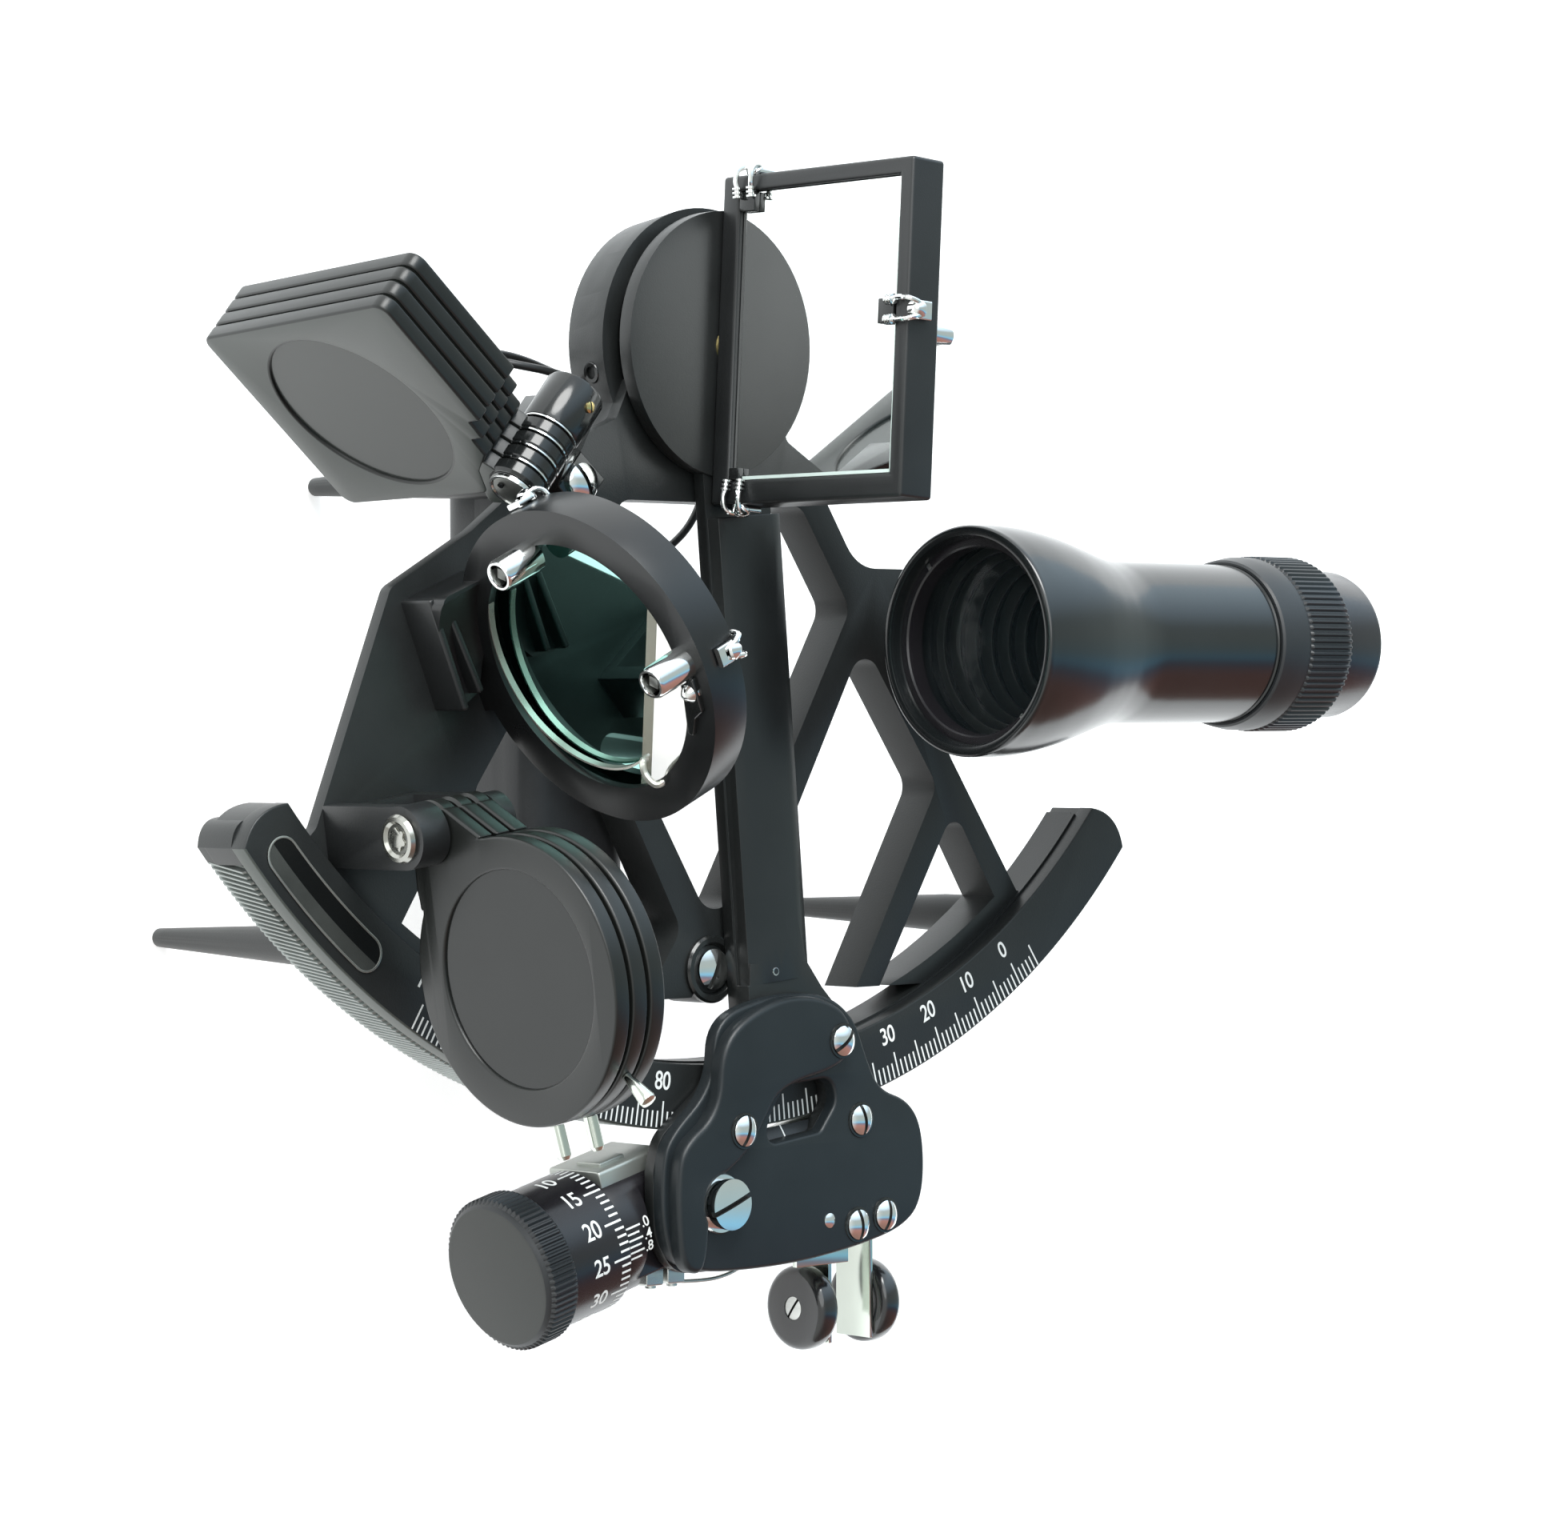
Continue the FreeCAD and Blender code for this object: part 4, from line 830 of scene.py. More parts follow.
# ---- index arm ---------------------------------------------------------------------------
def arm_parts():
    softened("index_arm", "arm", "arm_paint", "index_arm", bevel=0.4, segments=3)
    base = [(-9.2, -121.5), (-9.4, -133.5), (-20.5, -142.0), (-22.0, -148.0), (-21.8, -159.5),
            (-17.0, -166.6),
            (8.0, -167.2), (27.0, -165.2), (40.6, -162.2), (45.0, -156.4), (44.8, -144.6), (41.0, -138.8),
            (33.0, -136.4), (29.6, -130.0), (26.6, -122.5), (18.5, -117.6), (4.0, -117.8)]
    window = [(3.6, -144.8), (17.6, -143.2), (21.6, -138.2), (21.0, -133.4), (8.6, -134.4), (4.6, -140.0)]
    sight = rounded(window, [2, 2, 3.5, 3.2, 4, 4])
    plate = Shape().add(slab(flowing(base), 2.7, 5.2, top=0.7, holes=[sight]))
    piece("foot_plate", plate, "plate_paint", "index_arm", replaces=("arm_base_plate",))
    cover = [(-9.8, -124.5), (-10.4, -137.8), (-19.6, -143.4), (-20.7, -150.0), (-20.3, -160.5),
             (-18.6, -166.0),
             (-13.4, -166.4), (-12.6, -151.2), (-3.0, -145.6), (1.2, -139.6), (5.0, -134.2), (20.4, -131.6),
             (24.2, -127.0), (21.8, -121.0), (14.0, -117.9), (3.4, -118.0)]
    outline = flowing(cover, 10)
    hinge_screw = Vector((-8.2, -154.4))
    outline = [hinge_screw + (p - hinge_screw).normalized() * 5.5 if (p - hinge_screw).length < 5.5 else p
               for p in outline]
    bridge = Shape().add(slab(outline, 5.2, 8.0, top=1.1, steps=6))
    piece("foot_cover", bridge, "plate_paint", "index_arm", replaces=("arm_cover_plate",))

    heads = Shape()
    spots = ((20.5, -126.6, 8.0, 40), (-4.5, -141.5, 8.0, 75), (28.0, -141.7, 5.2, 100),
             (27.1, -161.0, 5.2, 95),
             (34.4, -159.8, 5.2, 80))
    for x, y, z, turn in spots:
        heads.add(dome(2.75, 1.5, 0.95, 0.75, 0.8), flat_at((x, y, z - 0.05), turn))
    heads.add(dome(1.35, 0.55, 0.4), flat_at((19.8, -159.7, 5.15)))
    piece("foot_screws", heads, "chrome", "index_arm", replaces=("arm_screws",))
    rings = Shape()
    for x, y, z, turn in spots:
        rings.add(revolve([(0, 3.35), (0.25, 3.25), (0.28, 2.85), (0, 2.85)], 40, closed=True),
                  flat_at((x, y, z - 0.04)))
    piece("screw_seats", rings, "knuckle_black", "index_arm")
    pivot = Shape()
    place = flat_at((-8.2, -154.4, 5.2), 20)
    pivot.add(revolve([(0, 0), (0, 5.3), (0.5, 5.45), (0.9, 5.2), (0.9, 4.3)], 64), place)
    pivot.add(dome(4.6, 3.9, 0.25, 0.95, 1.2), place)
    piece("hinge_screw", pivot, "chrome", "index_arm", replaces=("carriage_pivot_screw",))

    sight_plate = Shape()
    slope = axes((13.6, -143.4, 1.5), heading(ARM_ANGLE), Vector((-0.07, 0.85, -0.52)))
    sight_plate.add(block((-8.4, -1.7, -0.3), (7.4, 1.9, 0.0)), slope)
    sight_plate.add(block((-6.6, -2.0, -0.1), (5.8, -1.7, 0.4)), slope)
    piece("sight_plate", sight_plate, "anodised_matt", "index_arm", bevel=0.08)
    line = Shape().add(block((-2.0, -1.6, 0.0), (-1.72, 1.9, 0.05)), slope)
    piece("sight_line", line, "marking", "index_arm")

    disc = Shape()
    disc.add(dome(1.0, 0.5, 0.3), flat_at((3.2, 7.4, 0.0)))
    disc.add(revolve([(-0.1, 1.7), (0.25, 1.6), (0.3, 1.0), (-0.1, 1.0)], 32, closed=True),
             flat_at((3.2, 7.4, 0.0)))
    piece("disc_screw", disc, "knuckle_black", "index_arm")
    slit = Shape().add(revolve([(-0.2, 0), (-0.2, 3.6), (0.4, 3.4), (0.45, 0)], 48),
                       flat_at((0.3, -0.4, 0.0)))
    piece("centre_cap", slit, "brass", "index_arm")
    hole = Shape().add(revolve([(0, 0), (0.06, 0.55), (0.1, 0.75), (0, 0.8)], 24, closed=True),
                       flat_at((8.4, -113.6, 2.9)))
    piece("arm_pip", hole, "steel", "index_arm")


# ---- index mirror ------------------------------------------------------------------------
def mirror_axes():
    lean = math.radians(90 + MIRROR_TILT)
    edge = Vector((math.cos(lean), math.sin(lean), 0))
    back = Vector((edge.y, -edge.x, 0))
    return Matrix((back, edge, back.cross(edge))).transposed().to_4x4(), Matrix.Translation((MIRROR_FRONT, 0,
                                                                                             0))


def clip(shape, place):
    """Sprung clip: local X points in over the glass, Y along the edge, Z out of the face."""
    shape.add(slab(rounded([(-1.2, -1.7), (-0.2, -1.7), (-0.2, 1.7), (-1.2, 1.7)], 0.3, 3), -5.0, -1.6),
              place)
    shape.add(dome(1.75, 1.9, 1.4), place @ along((-0.6, 0, -1.8), (-0.8, 0, 0.6)))
    for side in (-1, 1):
        path = smooth_path([(-0.9, side * 0.7, -3.2), (-1.5, side * 1.3, -0.9), (-0.7, side * 1.8, 0.7),
                            (1.2, side * 1.95, 1.1), (2.6, side * 1.75, 0.8)])
        shape.add(tube(path, 0.5, 10), place)
        ribs = []
        for i in range(3):
            ribs += [(i * 0.75, 0.55), (i * 0.75 + 0.1, 0.95), (i * 0.75 + 0.42, 0.95),
                     (i * 0.75 + 0.52, 0.55)]
        shape.add(revolve(ribs, 14), place @ along((2.4, side * 1.75, 0.85), (1, 0, -0.12)))


def index_mirror():
    local, shift = mirror_axes()
    base = shift @ local
    softened("index_mirror_housing", "mirror_frame", "mirror_paint", "index_arm", bevel=0.7,
             segments=4)
    edge = Shape()
    edge.add(block((1.05, -24.7, 4.5), (1.3, -24.1, 44.4)), base)
    edge.add(block((1.05, -24.7, 43.8), (1.3, 20.0, 44.4)), base)
    piece("mirror_edge", edge, "glass_edge", "index_arm")

    fittings = Shape()
    def seat(origin, inward, out):
        inward, out = Vector(inward), Vector(out)
        return base @ axes(origin, inward, out.cross(inward))
    clip(fittings, seat((-0.2, 30.3, 6.6), (0, -1, 0), (-1, 0, 0)))
    clip(fittings, seat((-0.2, -29.2, 6.6), (0, 1, 0), (-1, 0, 0)))
    clip(fittings, seat((-0.2, 3.5, 47.8), (0, 0, -1), (-1, 0, 0)))
    cushions = Shape()
    cushions.add(block((-0.1, 23.6, 4.6), (1.3, 27.1, 8.4)), base)
    cushions.add(block((-0.1, 1.3, 40.6), (1.3, 5.7, 44.4)), base)
    cushions.add(block((-0.1, -24.7, 4.6), (1.3, -22.6, 7.0)), base)
    piece("glass_cushions", cushions, "knuckle_black", "index_arm", bevel=0.15)
    fittings.add(revolve([(0, 2.1), (5.4, 2.1), (5.9, 1.8), (5.9, 1.2), (5.2, 1.2)], 40),
                 base @ along((7.9, 0.4, 44.2), (1, 0, 0)))
    piece("mirror_clips", fittings, "chrome", "index_arm", replaces=("index_mirror_clips",))


# ---- horizon mirror ----------------------------------------------------------------------
def horizon_mirror():
    normal = heading(RING_ANGLE)
    level = Vector((-normal.y, normal.x, 0))
    base = axes(RING_CENTRE, level, UP)
    softened("horizon_mirror_housing", "horizon_ring", "ring_paint", "frame", bevel=1.0,
             segments=4)
    def spot(radius, angle, z):
        turn = math.radians(angle)
        return Vector((radius * math.sin(turn), radius * math.cos(turn), z))
    spring = Shape()
    strip = []
    for angle in range(148, 290, 4):
        inward = max(0.0, (angle - 205) / 84.0)
        strip.append(spot(22.8 - 4.6 * inward ** 1.4, angle,
                          -3.4 + 1.6 * math.sin(math.radians(angle - 148))))
    verts = []
    faces = []
    for point in strip:
        out = Vector((point.x, point.y, 0)).normalized()
        verts += [point + out * dr + Vector((0, 0, dz)) for dr,
                  dz in ((-0.4, -0.6), (0.0, -0.6), (0.0, 0.6), (-0.4, 0.6))]
    for i in range(len(strip) - 1):
        faces += [[i * 4 + k, i * 4 + (k + 1) % 4, (i + 1) * 4 + (k + 1) % 4,
                   (i + 1) * 4 + k] for k in range(4)]
    faces += [[3, 2, 1, 0], [len(strip) * 4 - 4 + k for k in range(4)]]
    spring.add((verts, faces), base)
    tongue = [spot(18.3, 287, -2.6), spot(18.6, 290, -4.4), spot(20.6, 289, -5.0), spot(22.9, 291, -4.9),
              spot(23.2, 294, -3.8), spot(22.0, 299, -2.6), spot(22.2, 314, -1.6), spot(22.3, 332, -1.2)]
    spring.add(tube(smooth_path(tongue, 5), [0.6] * 20 + [0.35] * 16, 8), base)
    piece("ring_spring", spring, "spring_wire", "frame")

    split = 10.2
    radius = 24.9
    turned = -27.0
    reach = math.degrees(math.acos(split / radius))
    def pane_edge(first, sweep, steps):
        return [spot(radius, first + sweep * i / steps, 0).to_2d() for i in range(steps + 1)]
    silvered = pane_edge(turned + reach, 360 - 2 * reach, 80)
    clear = pane_edge(turned - reach, 2 * reach, 40)
    panes = Shape()
    panes.add(slab(silvered, -0.6, 2.0), base)
    piece("horizon_silvered", panes, "teal_mirror", "frame",
          replaces=("horizon_mirror_glass",))
    panes = Shape()
    panes.add(slab(clear, -0.6, 2.0), base)
    piece("horizon_clear", panes, "horizon_glass", "frame")

    hardware = Shape()
    pins = Shape()
    levers = Shape()
    for x, y in ((20.4, -4.2), (0.4, 23.9)):
        place = base @ along((x, y, -3.6), (0, 0, -1))
        hardware.add(revolve([(0, 2.95), (7.9, 2.75), (8.4, 2.45), (8.4, 2.1), (7.9, 1.9), (4.5, 1.9)], 48),
                     place)
        pins.add(block((-0.95, -0.95, 4.0), (0.95, 0.95, 7.6)), spun(place, 20))
    hardware.add(dome(1.9, 2.4, 2.0), base @ along((-4.6, 24.0, -3.9), (0, 0, -1)))
    levers.add(slab(rounded([(-3.4, -1.6), (2.6, -2.0), (3.0, 1.2), (-0.5, 1.7), (-7.2, 3.6), (-8.0, 2.6),
                             (-4.6, 0.6)],
                            0.5, 4), 0, 0.9, top=0.3), base @ axes((-4.6, 24.0, -4.0), (1, 0, 0), (0, -1, 0)))
    for turn in (-15, 90, 205):
        angle = math.radians(turn)
        out = Vector((math.cos(angle), math.sin(angle), 0))
        clip(hardware, base @ axes(out * (RING_RADIUS + 0.1) + Vector((0, 0, 4.0)), -out, out.cross(UP)))
    piece("ring_fittings", hardware, "chrome", "frame",
          replaces=("horizon_mirror_clips", "horizon_adjusters"))
    piece("ring_pins", pins, "cap_grey", "frame", bevel=0.1)
    piece("ring_lever", levers, "knuckle_black", "frame")
    ridges = Shape()
    for offset in (0.0, 3.4):
        start = Vector((-73.4 + offset, -47.0 - offset * 0.2, FACE))
        end = Vector((-65.6 + offset, -65.8 + offset * 0.9, FACE))
        direction = (end - start).normalized()
        place = axes(start, direction, UP.cross(direction))
        ridges.add(slab(rounded([(0, -0.7), ((end - start).length, -0.7), ((end - start).length, 0.7),
                                 (0, 0.7)],
                                0.5, 4), 0.0, 7.6, top=0.5), place)
    piece("foot_ridges", ridges, "mirror_paint", "frame")


# ---- shades ------------------------------------------------------------------------------
def index_shades():
    path = heading(50.0)
    across = Vector((-path.y, path.x, 0))
    hinge_reach, hinge_height = 27.9, 9.2
    hinge = across * hinge_reach + Vector((0, 0, hinge_height))
    base = axes(hinge, UP.cross(path), UP)
    first, pitch, thick = -60.0, 3.2, 2.85
    outline = rounded([(-0.8, -7.0), (-1.8, -46.3), (41.3, -45.6), (45.2, 6.7), (16.6, 6.1), (16.4, 3.4),
                       (12.4, 3.2),
                       (12.2, 0.4), (8.2, 0.2), (4.6, -4.4)],
                      [2, 2.5, 2.5, 2.5, 0.4, 0.3, 0.4, 0.3, 0.4, 0.5], 6)
    window = circle(20.6, -21.6, 18.0, 96)
    for number in range(4):
        start = first + number * pitch
        body = Shape()
        body.add(slab(outline, start, start + thick, top=0.45, bottom=0.45, holes=[window], steps=3), base)
        body.add(slab(rounded([(-3.2, -9.0), (-4.0, -0.5), (1.5, 1.6), (10.0, -4.0)], 0.8, 4), start + 0.04,
                      start + thick - 0.04, top=0.2, bottom=0.2), base)
        # front faces take the lighter paint, a painted sheen; the other faces keep the plain dark paint
        for i, face in enumerate(body.faces):
            if all((base.inverted() @ body.verts[k]).z < start + 0.05 for k in face):
                body.paint[i] = 1
        lens = Shape().add(slab(window, start + 0.6, start + 2.2), base)
        ring = "index_shade_%d" % (number + 1)
        barrel = Shape().add(revolve([(start, 2.3), (start, 4.7), (start + 0.5, 5.2),
                                      (start + thick - 0.5, 5.2),
                                      (start + thick, 4.7), (start + thick, 2.3)], 56, closed=True), base)
        piece("side_filter_%d" % (number + 1), body, ["front_shade_paint", "filter_sheen_paint"], ring,
              replaces=("index_shade_%d" % (number + 1),))
        piece("side_knuckle_%d" % (number + 1), barrel, "knuckle_black", ring)
        piece("side_pane_%d" % (number + 1), lens, "grey_filter", ring,
              replaces=("index_shade_glass_%d" % (number + 1),))
    last = first + 4 * pitch
    end = last + 9.6
    pin = Shape()
    for number in range(4):
        middle = first + number * pitch + thick + 0.18
        pin.add(revolve([(middle - 0.14, 2.0), (middle - 0.14, 5.25), (middle + 0.14, 5.25),
                         (middle + 0.14, 2.0)],
                        56, closed=True), base)
    pin.add(revolve([(first - 0.1, 3.6), (first - 0.1, 4.3), (first - 0.6, 4.3), (first - 0.95, 4.15),
                     (first - 0.95, 3.85), (first - 0.7, 3.65)], 48, closed=True), base)
    cap = Shape().add(revolve([(first - 0.1, 0), (first - 0.1, 3.6), (first - 0.7, 3.6), (first - 0.85, 3.3),
                               (first - 0.85, 0)], 48), base)
    piece("side_hinge_cap", cap, "cap_grey", "frame")
    pin.add(dome(3.4, 1.9, 1.2, 0.8, 0.9),
            base @ along((-17.6, FACE - hinge_height + 3.0, (last + end) / 2), (0, 1, 0),
                                                         (1, 0, 0.4)))
    piece("side_hinge_pin", pin, "chrome", "frame", replaces=("index_shade_pin",))
    eyelets = Shape()
    for side in (-1, 1):
        eyelets.add(revolve([(-1.3, 0), (-1.3, 0.55), (-0.88, 0.55), (-0.88, 0)], 20),
                    base @ Matrix.Translation((side * 2.1, -side * 0.6, first)))
    piece("side_hinge_dots", eyelets, "knuckle_black", "frame")
    softened("index_shade_bracket", "side_bracket", "knuckle_black", "frame", bevel=0.4,
             segments=3)
    collar = Shape().add(revolve([(last + 0.1, 4.6), (last + 0.1, 5.3), (last + 0.6, 5.45), (end - 0.5, 5.45),
                                  (end, 5.2), (end, 4.6)], 56, closed=True), base)
    piece("side_collar", collar, "knuckle_black", "frame")
    screw = Shape().add(dome(1.0, 0.6, 0.25, 0.3, 0.4),
                        base @ along((-0.66, 5.36, end - 3.4), (-0.12, 0.99, 0.0)))
    piece("side_set_screw", screw, "brass", "frame")


def horizon_shades():
    path = heading(8.0)
    base = axes((-90.6, -87.0, 16.0), -UP.cross(path), UP)
    nearest, pitch, thick = 6.3, 3.9, 3.2
    centre = (24.7, 17.2)
    window = circle(24.2, 17.7, 18.3, 96)
    for number, lean in enumerate((11, 50, 10)):
        start = -(nearest + number * pitch + thick)
        high = start + thick
        body_name = "horizon_shade_%d" % (number + 1)
        body = Shape()
        ear = rounded([(0.6, 12.2), (-4.0, 4.0), (-4.6, -3.0), (-1.0, -5.4), (10.0, -5.5), (13.6, -4.8)],
                      [0.2, 2, 2, 2, 3, 0.2], 5)
        sweep = [math.radians(-116.1 + 306.7 * i / 110) for i in range(111)]
        outline = [Vector((centre[0] + 24.3 * math.cos(t),
                           centre[1] + 24.3 * math.sin(t))) for t in sweep] + ear
        body.add(slab(outline, start, high, top=0.5, bottom=0.5, holes=[window], steps=3), base)
        body.add(revolve([(start, 2.3), (start, 4.9), (start + 0.5, 5.4), (high - 0.5, 5.4), (high, 4.9),
                          (high, 2.3)], 56, closed=True), base)
        piece("front_filter_%d" % (number + 1), body, "front_shade_paint", body_name,
              replaces=(body_name,))
        lens = Shape().add(slab(window, start + 0.8, start + 2.6), base)
        piece("front_pane_%d" % (number + 1), lens, "dark_filter", body_name,
              replaces=("horizon_shade_glass_%d" % (number + 1),))
        turn = math.radians(lean)
        outward = Vector((math.cos(turn), math.sin(turn), 0))
        middle = Vector((centre[0], centre[1], start + thick / 2))
        grip = [(0, 1.2), (5.2, 1.2), (5.8, 0.8), (5.9, 0.0)] if lean != 50 else \
            [(0, 0.8), (1.0, 0.85), (5.6, 1.5), (6.1, 1.35), (6.3, 0.9), (6.35, 0.0)]
        finger = Shape().add(revolve(grip, 28), base @ along(middle + outward * 24.4, outward))
        piece("front_finger_%d" % (number + 1), finger, "bright_steel", body_name)
    softened("horizon_shade_bracket", "front_bracket", "mirror_paint", "frame", bevel=0.5,
             segments=3)
    pin = Shape()
    pin.add(revolve([(0.0, 2.0), (0.0, 4.0), (0.6, 4.15), (1.3, 3.8), (1.4, 3.1), (0.9, 2.6), (0.9, 2.2)],
                    48), base)
    pin.add(revolve([(-22.0, 0), (-22.0, 2.0), (0.9, 2.0), (0.9, 0)], 32), base)
    piece("front_hinge_pin", pin, "dull_steel", "frame", replaces=("horizon_shade_pin",))
    star = [Vector((math.cos(math.pi * i / 12), math.sin(math.pi * i / 12))) * (2.05 if i % 4 < 2 else 1.55)
            for i in range(24)]
    piece("front_hinge_star", Shape().add(slab(star, 0.7, 1.15), base), "dull_steel", "frame",
          bevel=0.08)


# ---- telescope ---------------------------------------------------------------------------
def spline_profile(points, steps=5):
    return [(p.x, p.y) for p in smooth_path([(a, b, 0) for a, b in points], steps)]


def telescope():
    base = along((0, TELESCOPE_Y, AXIS_HEIGHT), (1, 0, 0))
    x0 = TELESCOPE_FRONT
    outside = [(x0, 19.9), (x0, 20.7), (x0 + 0.25, 21.05), (x0 + 0.7, 21.2)]
    outside += spline_profile([(x0 + 1.2, 21.2), (x0 + 5.5, 21.25), (x0 + 11, 20.9), (x0 + 17.5, 19.9),
                               (x0 + 23, 18.6), (x0 + 28, 17.25), (x0 + 32.5, 16.1), (x0 + 37, 15.35),
                               (x0 + 41, 15.2), (x0 + 46, 15.2)])
    outside += [(x0 + 69.8, 15.2), (x0 + 70.1, 14.9), (x0 + 70.8, 14.9), (x0 + 71.0, 15.2), (x0 + 78.0, 15.2)]
    inside = [(x0 + 78.0, 12.6), (x0 + 37, 12.6), (x0 + 30, 14.4), (x0 + 24, 16.4), (x0 + 16, 18.2),
              (x0 + 9.9, 18.4), (x0 + 9.9, 18.9), (x0 + 1.4, 18.9), (x0 + 0.6, 19.3), (x0 + 0.2, 19.4)]
    shape = Shape().add(revolve(outside + inside, 128, closed=True), base)
    piece("telescope_body", shape, "telescope_paint", "frame", replaces=("telescope_tube",),
          sharp=40)

    baffles = Shape()
    rows = ((11.5, 18.5, 16.6), (15.0, 18.3, 15.8), (18.5, 17.9, 15.0), (22.0, 17.1, 14.2),
            (25.5, 15.9, 13.2), (29.0, 14.8, 12.2), (33.5, 13.5, 11.2), (40.0, 12.7, 9.8))
    for x, outer, inner in rows:
        profile = [(0.0, outer), (0.0, inner + 0.3), (0.15, inner), (0.7, inner), (0.9, outer)]
        baffles.add(revolve([(x0 + x + step, r) for step, r in profile], 96, closed=True), base)
    piece("telescope_baffles", baffles, "baffle_paint", "frame")
    keeper = Shape()
    keeper.add(revolve([(x0 + 2.6, 18.85), (x0 + 2.6, 17.6), (x0 + 2.9, 17.3), (x0 + 6.3, 17.2),
                        (x0 + 6.3, 18.85)],
                       96, closed=True), base)
    piece("lens_keeper", keeper, "anodised", "frame")
    notches = Shape()
    for turn in (95, 275):
        notches.add(block((17.55, -0.45, x0 + 2.45), (18.6, 0.45, x0 + 2.75)), spun(base, turn))
    piece("keeper_notches", notches, "steel", "frame")

    ring = [(x0 + 71.4, 15.26), (x0 + 71.4, 15.7), (x0 + 71.8, 16.1), (x0 + 75.0, 16.7), (x0 + 78.2, 16.75),
            (x0 + 78.6, 16.4), (x0 + 79.0, 16.4), (x0 + 79.4, 16.95), (x0 + 79.8, 17.0), (x0 + 90.6, 17.0),
            (x0 + 91.2, 16.7), (x0 + 91.6, 16.1), (x0 + 91.6, 14.64), (x0 + 78.6, 14.64), (x0 + 78.6, 15.26)]
    shape = Shape().add(revolve(ring, 4 * 84, ripple=(0.42, 7, 10), closed=True), base)
    piece("focus_knurl", shape, "anodised_matt", "focus_ring", replaces=("focus_ring",),
          sharp=24)

    eye_end = 139.3
    barrel = [(x0 + 80.0, 10.4), (x0 + 80.0, 12.2), (x0 + 85.4, 12.2), (x0 + 85.4, 14.4),
              (eye_end - 1.3, 14.4),
              (eye_end - 0.4, 14.1), (eye_end, 13.4), (eye_end, 11.6), (eye_end - 0.6, 11.2),
              (eye_end - 3.0, 10.4)]
    shape = Shape().add(revolve(barrel, 112, closed=True), base)
    piece("eyepiece_barrel", shape, "anodised", "eyepiece", replaces=("eyepiece",), sharp=40)
    softened("telescope_bracket", "telescope_saddle", "casting_paint", "frame", bevel=0.5,
             segments=3)


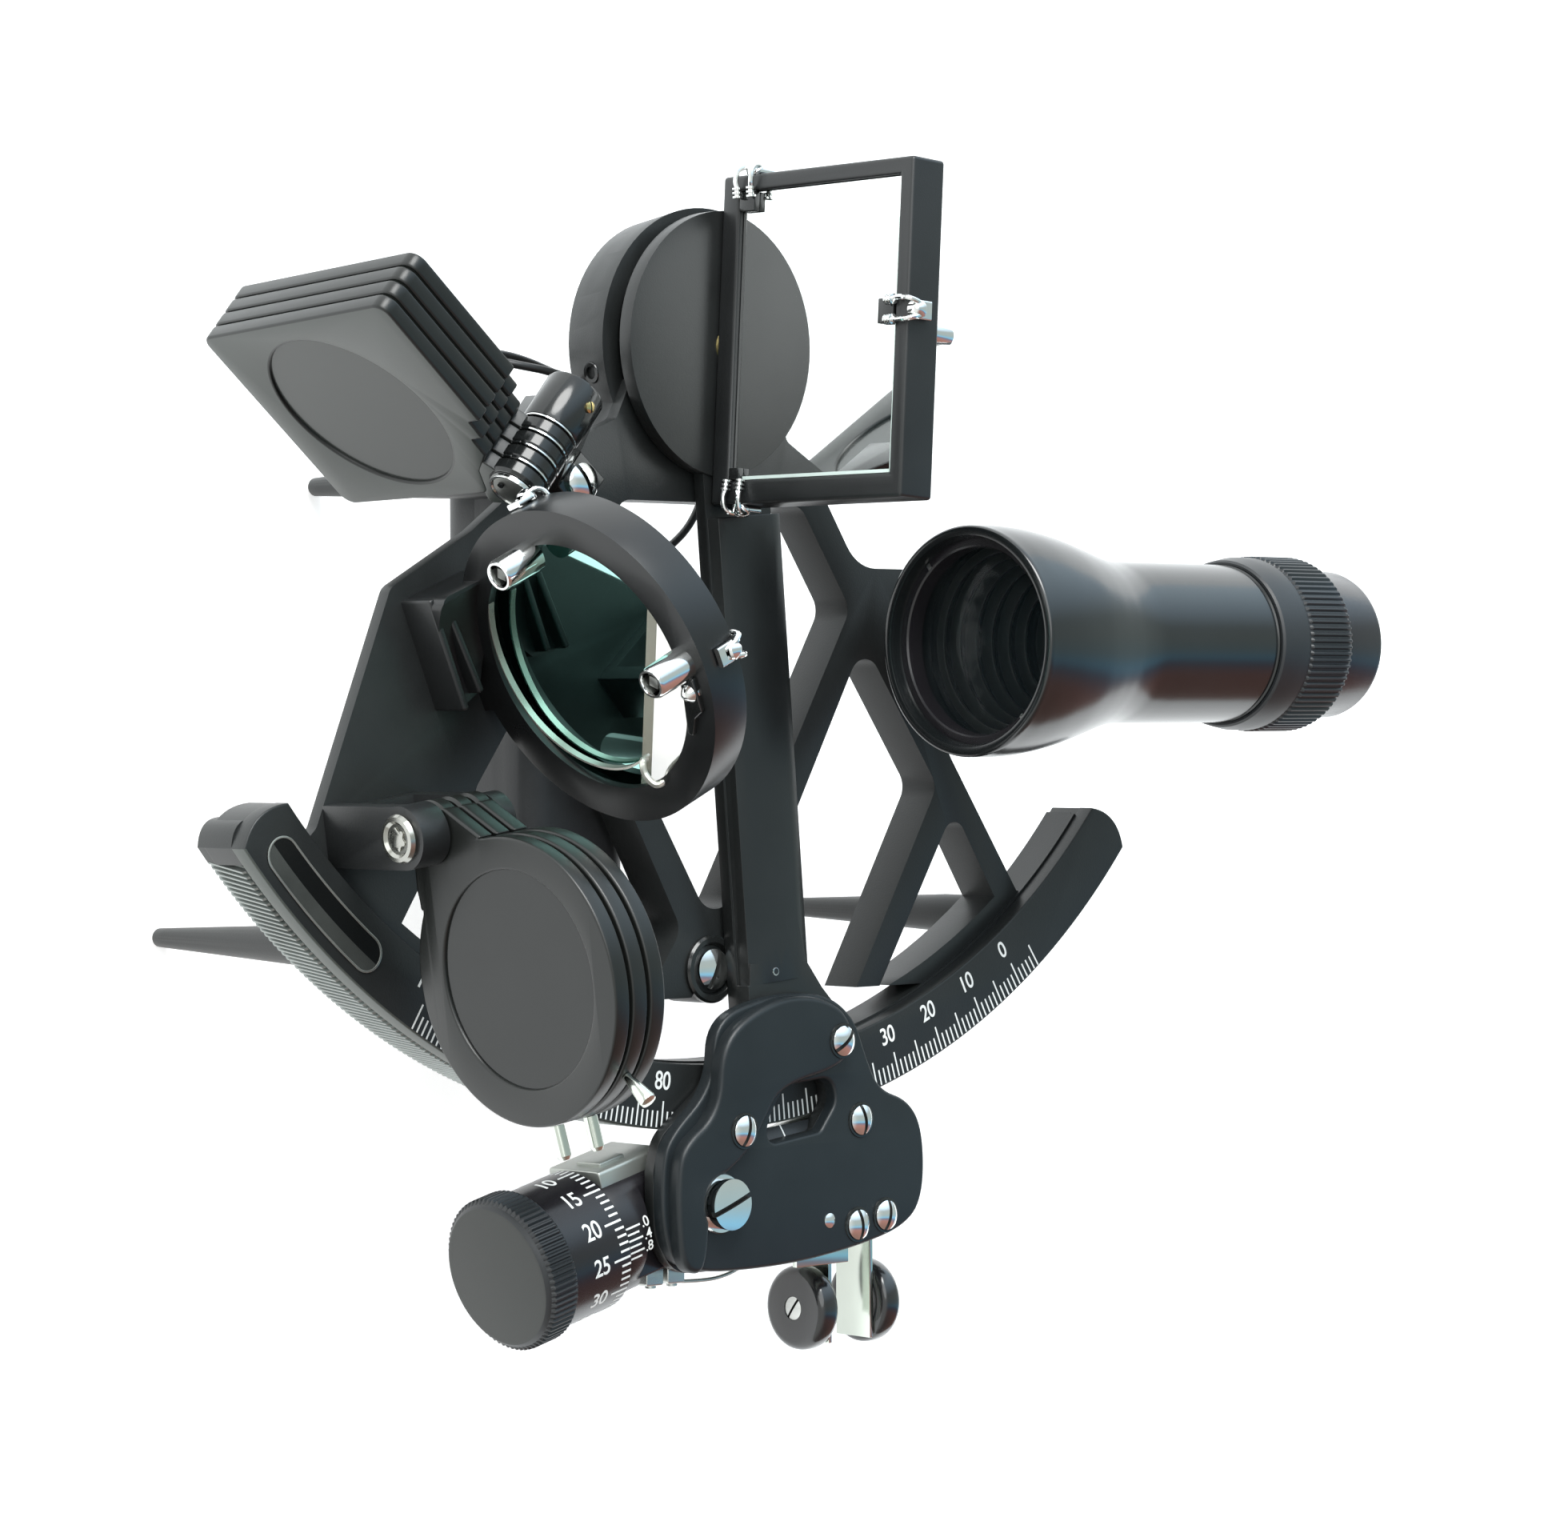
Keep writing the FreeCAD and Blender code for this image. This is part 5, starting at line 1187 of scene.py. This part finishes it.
# ---- micrometer --------------------------------------------------------------------------
def micrometer():
    direction = heading(WORM_ANGLE)
    mesh_point = polar(WORM_DISTANCE, WORM_ANGLE, WORM_HEIGHT)
    base = axes(mesh_point, UP, direction.cross(UP))
    drum = Shape().add(revolve([(KNOB_END, 3.0), (KNOB_END, 12.6), (KNOB_END + 0.3, 12.9),
                                (DRUM_END - 0.5, 12.9),
                                (DRUM_END, 12.4), (DRUM_END, 3.0)], 128, closed=True), base)
    piece("drum_barrel", drum, "anodised", "drum", replaces=("micrometer_drum",), sharp=30)
    knob = [(KNOB_FACE, 0), (KNOB_FACE, 12.0), (KNOB_FACE + 0.15, 12.5), (KNOB_FACE + 0.5, 12.9),
            (KNOB_FACE + 0.9, 13.15), (KNOB_FACE + 1.4, 13.95), (KNOB_FACE + 1.8, 14.0),
            (KNOB_END - 0.7, 14.0),
            (KNOB_END - 0.2, 13.6), (KNOB_END, 13.0), (KNOB_END, 0)]
    shape = Shape().add(revolve(knob, 4 * 76, ripple=(0.42, 5, 7)), base)
    for i, face in enumerate(shape.faces):
        if max((base.inverted() @ shape.verts[k]).z for k in face) < KNOB_FACE + 0.2:
            shape.paint[i] = 1
    piece("drum_grip", shape, ["anodised_matt", "knob_face"], "drum", replaces=("drum_knob",),
          sharp=24)

    marks = Shape()
    radius = 12.92
    degrees_25 = -8.0
    for minute in range(60):
        turn = math.radians(degrees_25 - (minute - 25) * 6.0)
        length = 3.9 if minute % 5 == 0 else 2.1
        mark = [(x, y, z) for x in (-length, 0) for y in (-0.2, 0.2) for z in (-0.03, 0.03)]
        faces = [[0, 1, 3, 2], [4, 6, 7, 5], [0, 4, 5, 1], [2, 3, 7, 6], [0, 2, 6, 4], [1, 5, 7, 3]]
        marks.add(wrapped((mark, faces), radius, turn, DRUM_END - 0.6), base)
        if minute % 5 == 0:
            digits = lettering(str(minute), 3.3, bold=0.04, cuts=5)
            marks.add(wrapped(digits, radius, turn, DRUM_END - 7.4), base)
    piece("drum_marks", marks, "marking", "drum")

    softened("vernier_sleeve", "vernier", "anodised", "worm_carriage", bevel=0.15)
    scale = Shape()
    radius = 11.62
    zero = 12.0
    for i in range(6):
        turn = math.radians(zero - i * 5.6)
        length = 3.4 if i % 2 == 0 else 2.8
        mark = [(x, y, z) for x in (0, length) for y in (-0.17, 0.17) for z in (-0.03, 0.03)]
        scale.add(wrapped((mark, faces), radius, turn, DRUM_END + 0.7), base)
        if i % 2 == 0:
            digits = lettering((".0", ".4", ".8")[i // 2], 1.9, bold=0.02, squeeze=1.0, cuts=4)
            scale.add(wrapped(digits, radius, turn, DRUM_END + 5.4), base)
    piece("vernier_marks", scale, "marking", "worm_carriage")
    softened("worm_carriage", "carriage", "carriage_steel", "worm_carriage", bevel=0.3)

    seat = Shape()
    seat.add(slab(rounded([(-7.0, -12.6), (6.5, -12.6), (6.5, -8.0), (-7.0, -8.0)], 0.8, 4), -65.4, -50.0,
                  top=0.3,
                  bottom=0.3), base)
    seat.add(slab(rounded([(-2.0, -13.3), (4.4, -13.3), (4.4, -12.4), (-2.0, -12.4)], 0.3, 3), -63.0, -57.0,
                  top=0.2,
                  bottom=0.2), base)
    piece("carriage_top", seat, "carriage_steel", "worm_carriage")

    wire = Shape()
    loop = smooth_path([(-17.5, -166.2, -5.0), (-15.0, -168.3, -4.6), (-9.0, -169.1, -4.0),
                        (-1.0, -169.2, -3.6),
                        (4.5, -167.8, -3.2), (6.0, -165.4, -3.0)], 8)
    wire.add(tube(loop, 0.35, 10))
    piece("return_spring", wire, "steel", "index_arm")
    nubs = Shape()
    for x in (-18.4, -13.2):
        nubs.add(slab(rounded([(x - 2.2, -168.8), (x + 2.0, -168.9), (x + 2.0, -165.6), (x - 2.2, -165.6)],
                              0.5, 4),
                      -3.4, -0.6, top=0.3, bottom=0.3))
        nubs.add(dome(1.0, 0.9, 0.3, 0.4, 0.4), along((x, -168.7, -2.0), (0, -1, 0)))
    piece("spring_anchors", nubs, "steel", "index_arm")


def pads():
    height, y = -8.6, -177.4
    rims = [(0, 3.4), (0, 6.6), (0.25, 7.25), (0.8, 7.7), (1.6, 7.9), (3.0, 7.9), (3.8, 7.7), (4.4, 7.25),
            (4.75, 6.7),
            (4.9, 6.2), (4.9, 2.2), (3.9, 2.2), (3.9, 0)]
    left = along((28.6, y, height), (-1, 0, 0))
    right = along((40.4, y, height), (1, 0, 0))
    piece("pad_left", Shape().add(revolve(rims[1:], 96), left), "pad_black", "index_arm",
          replaces=("fixed_pad",), sharp=44)
    dished = [(0.9, 0), (0.9, 4.2), (0.2, 5.0), (0, 6.0)] + rims[2:]
    piece("pad_right", Shape().add(revolve(dished, 96), right), "pad_black", "worm_carriage",
          replaces=("release_pad",), sharp=44)
    screws = Shape().add(dome(2.15, 1.1, 0.15, 0.5, 0.7), spun(left @ Matrix.Translation((0, 0, 3.8)), 8))
    piece("pad_screw_left", screws, "steel", "index_arm")
    screws = Shape().add(dome(2.05, 1.1, 0.15, 0.5, 0.7), spun(right @ Matrix.Translation((0, 0, 3.8)), 60))
    piece("pad_screw_right", screws, "steel", "worm_carriage")
    softened("fixed_strip", "strip_left", "bright_steel", "index_arm", bevel=0.2)
    softened("release_strip", "strip_right", "bright_steel", "worm_carriage", bevel=0.2)


def lead():
    """Lamp lead: one smooth line through the route's points."""
    route = (
        (-13.5, -40.0, -28.0), (-1.0, -40.0, -28.0), (9.0, -37.0, -27.5), (17.0, -30.5, -27.0),
        (20.5, -20.5, -27.0), (16.0, -11.5, -27.0), (6.5, -8.0, -27.2), (-5.0, -8.0, -27.4),
        (-16.0, -5.0, -27.5), (-27.0, -1.8, -27.5), (-36.5, -1.4, -27.5), (-40.0, -2.4, -24.0),
        (-40.0, -3.6, -19.0), (-36.5, -4.6, -15.5), (-30.0, -5.4, -14.6), (-23.6, -6.9, -14.4),
    )
    curve = bpy.data.curves.new("lamp_cord", "CURVE")
    curve.dimensions = "3D"
    curve.bevel_depth = 0.75 * MM
    curve.bevel_resolution = 5
    curve.resolution_u = 12
    curve.use_fill_caps = True
    line = curve.splines.new("NURBS")
    line.points.add(len(route) - 1)
    for knot, spot in zip(line.points, route):
        knot.co = (*at(*spot), 1.0)
    line.order_u = 3
    line.use_endpoint_u = True
    curve.materials.append(MATERIALS["sheath"])
    obj = bpy.data.objects.new("lamp_cord", curve)
    bpy.context.scene.collection.objects.link(obj)
    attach(obj, "frame")
    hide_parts("lamp_lead")


def carried_over():
    """Materials for the CAD nodes that stay."""
    finishes = {
        "pivot_bush": "brass", "pivot_shaft": "steel", "battery_cells": "cell_wrap",
        "index_mirror_glass": "silvering",
        "objective_lens": "lens", "eye_lens": "lens", "worm_shaft": "steel",
    }
    for node, finish in finishes.items():
        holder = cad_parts[node]
        for place in holder.material_slots:
            place.material = MATERIALS[finish]


studio()
lead()
frame_parts()
limb()
arm_parts()
index_mirror()
horizon_mirror()
index_shades()
horizon_shades()
telescope()
micrometer()
pads()
carried_over()
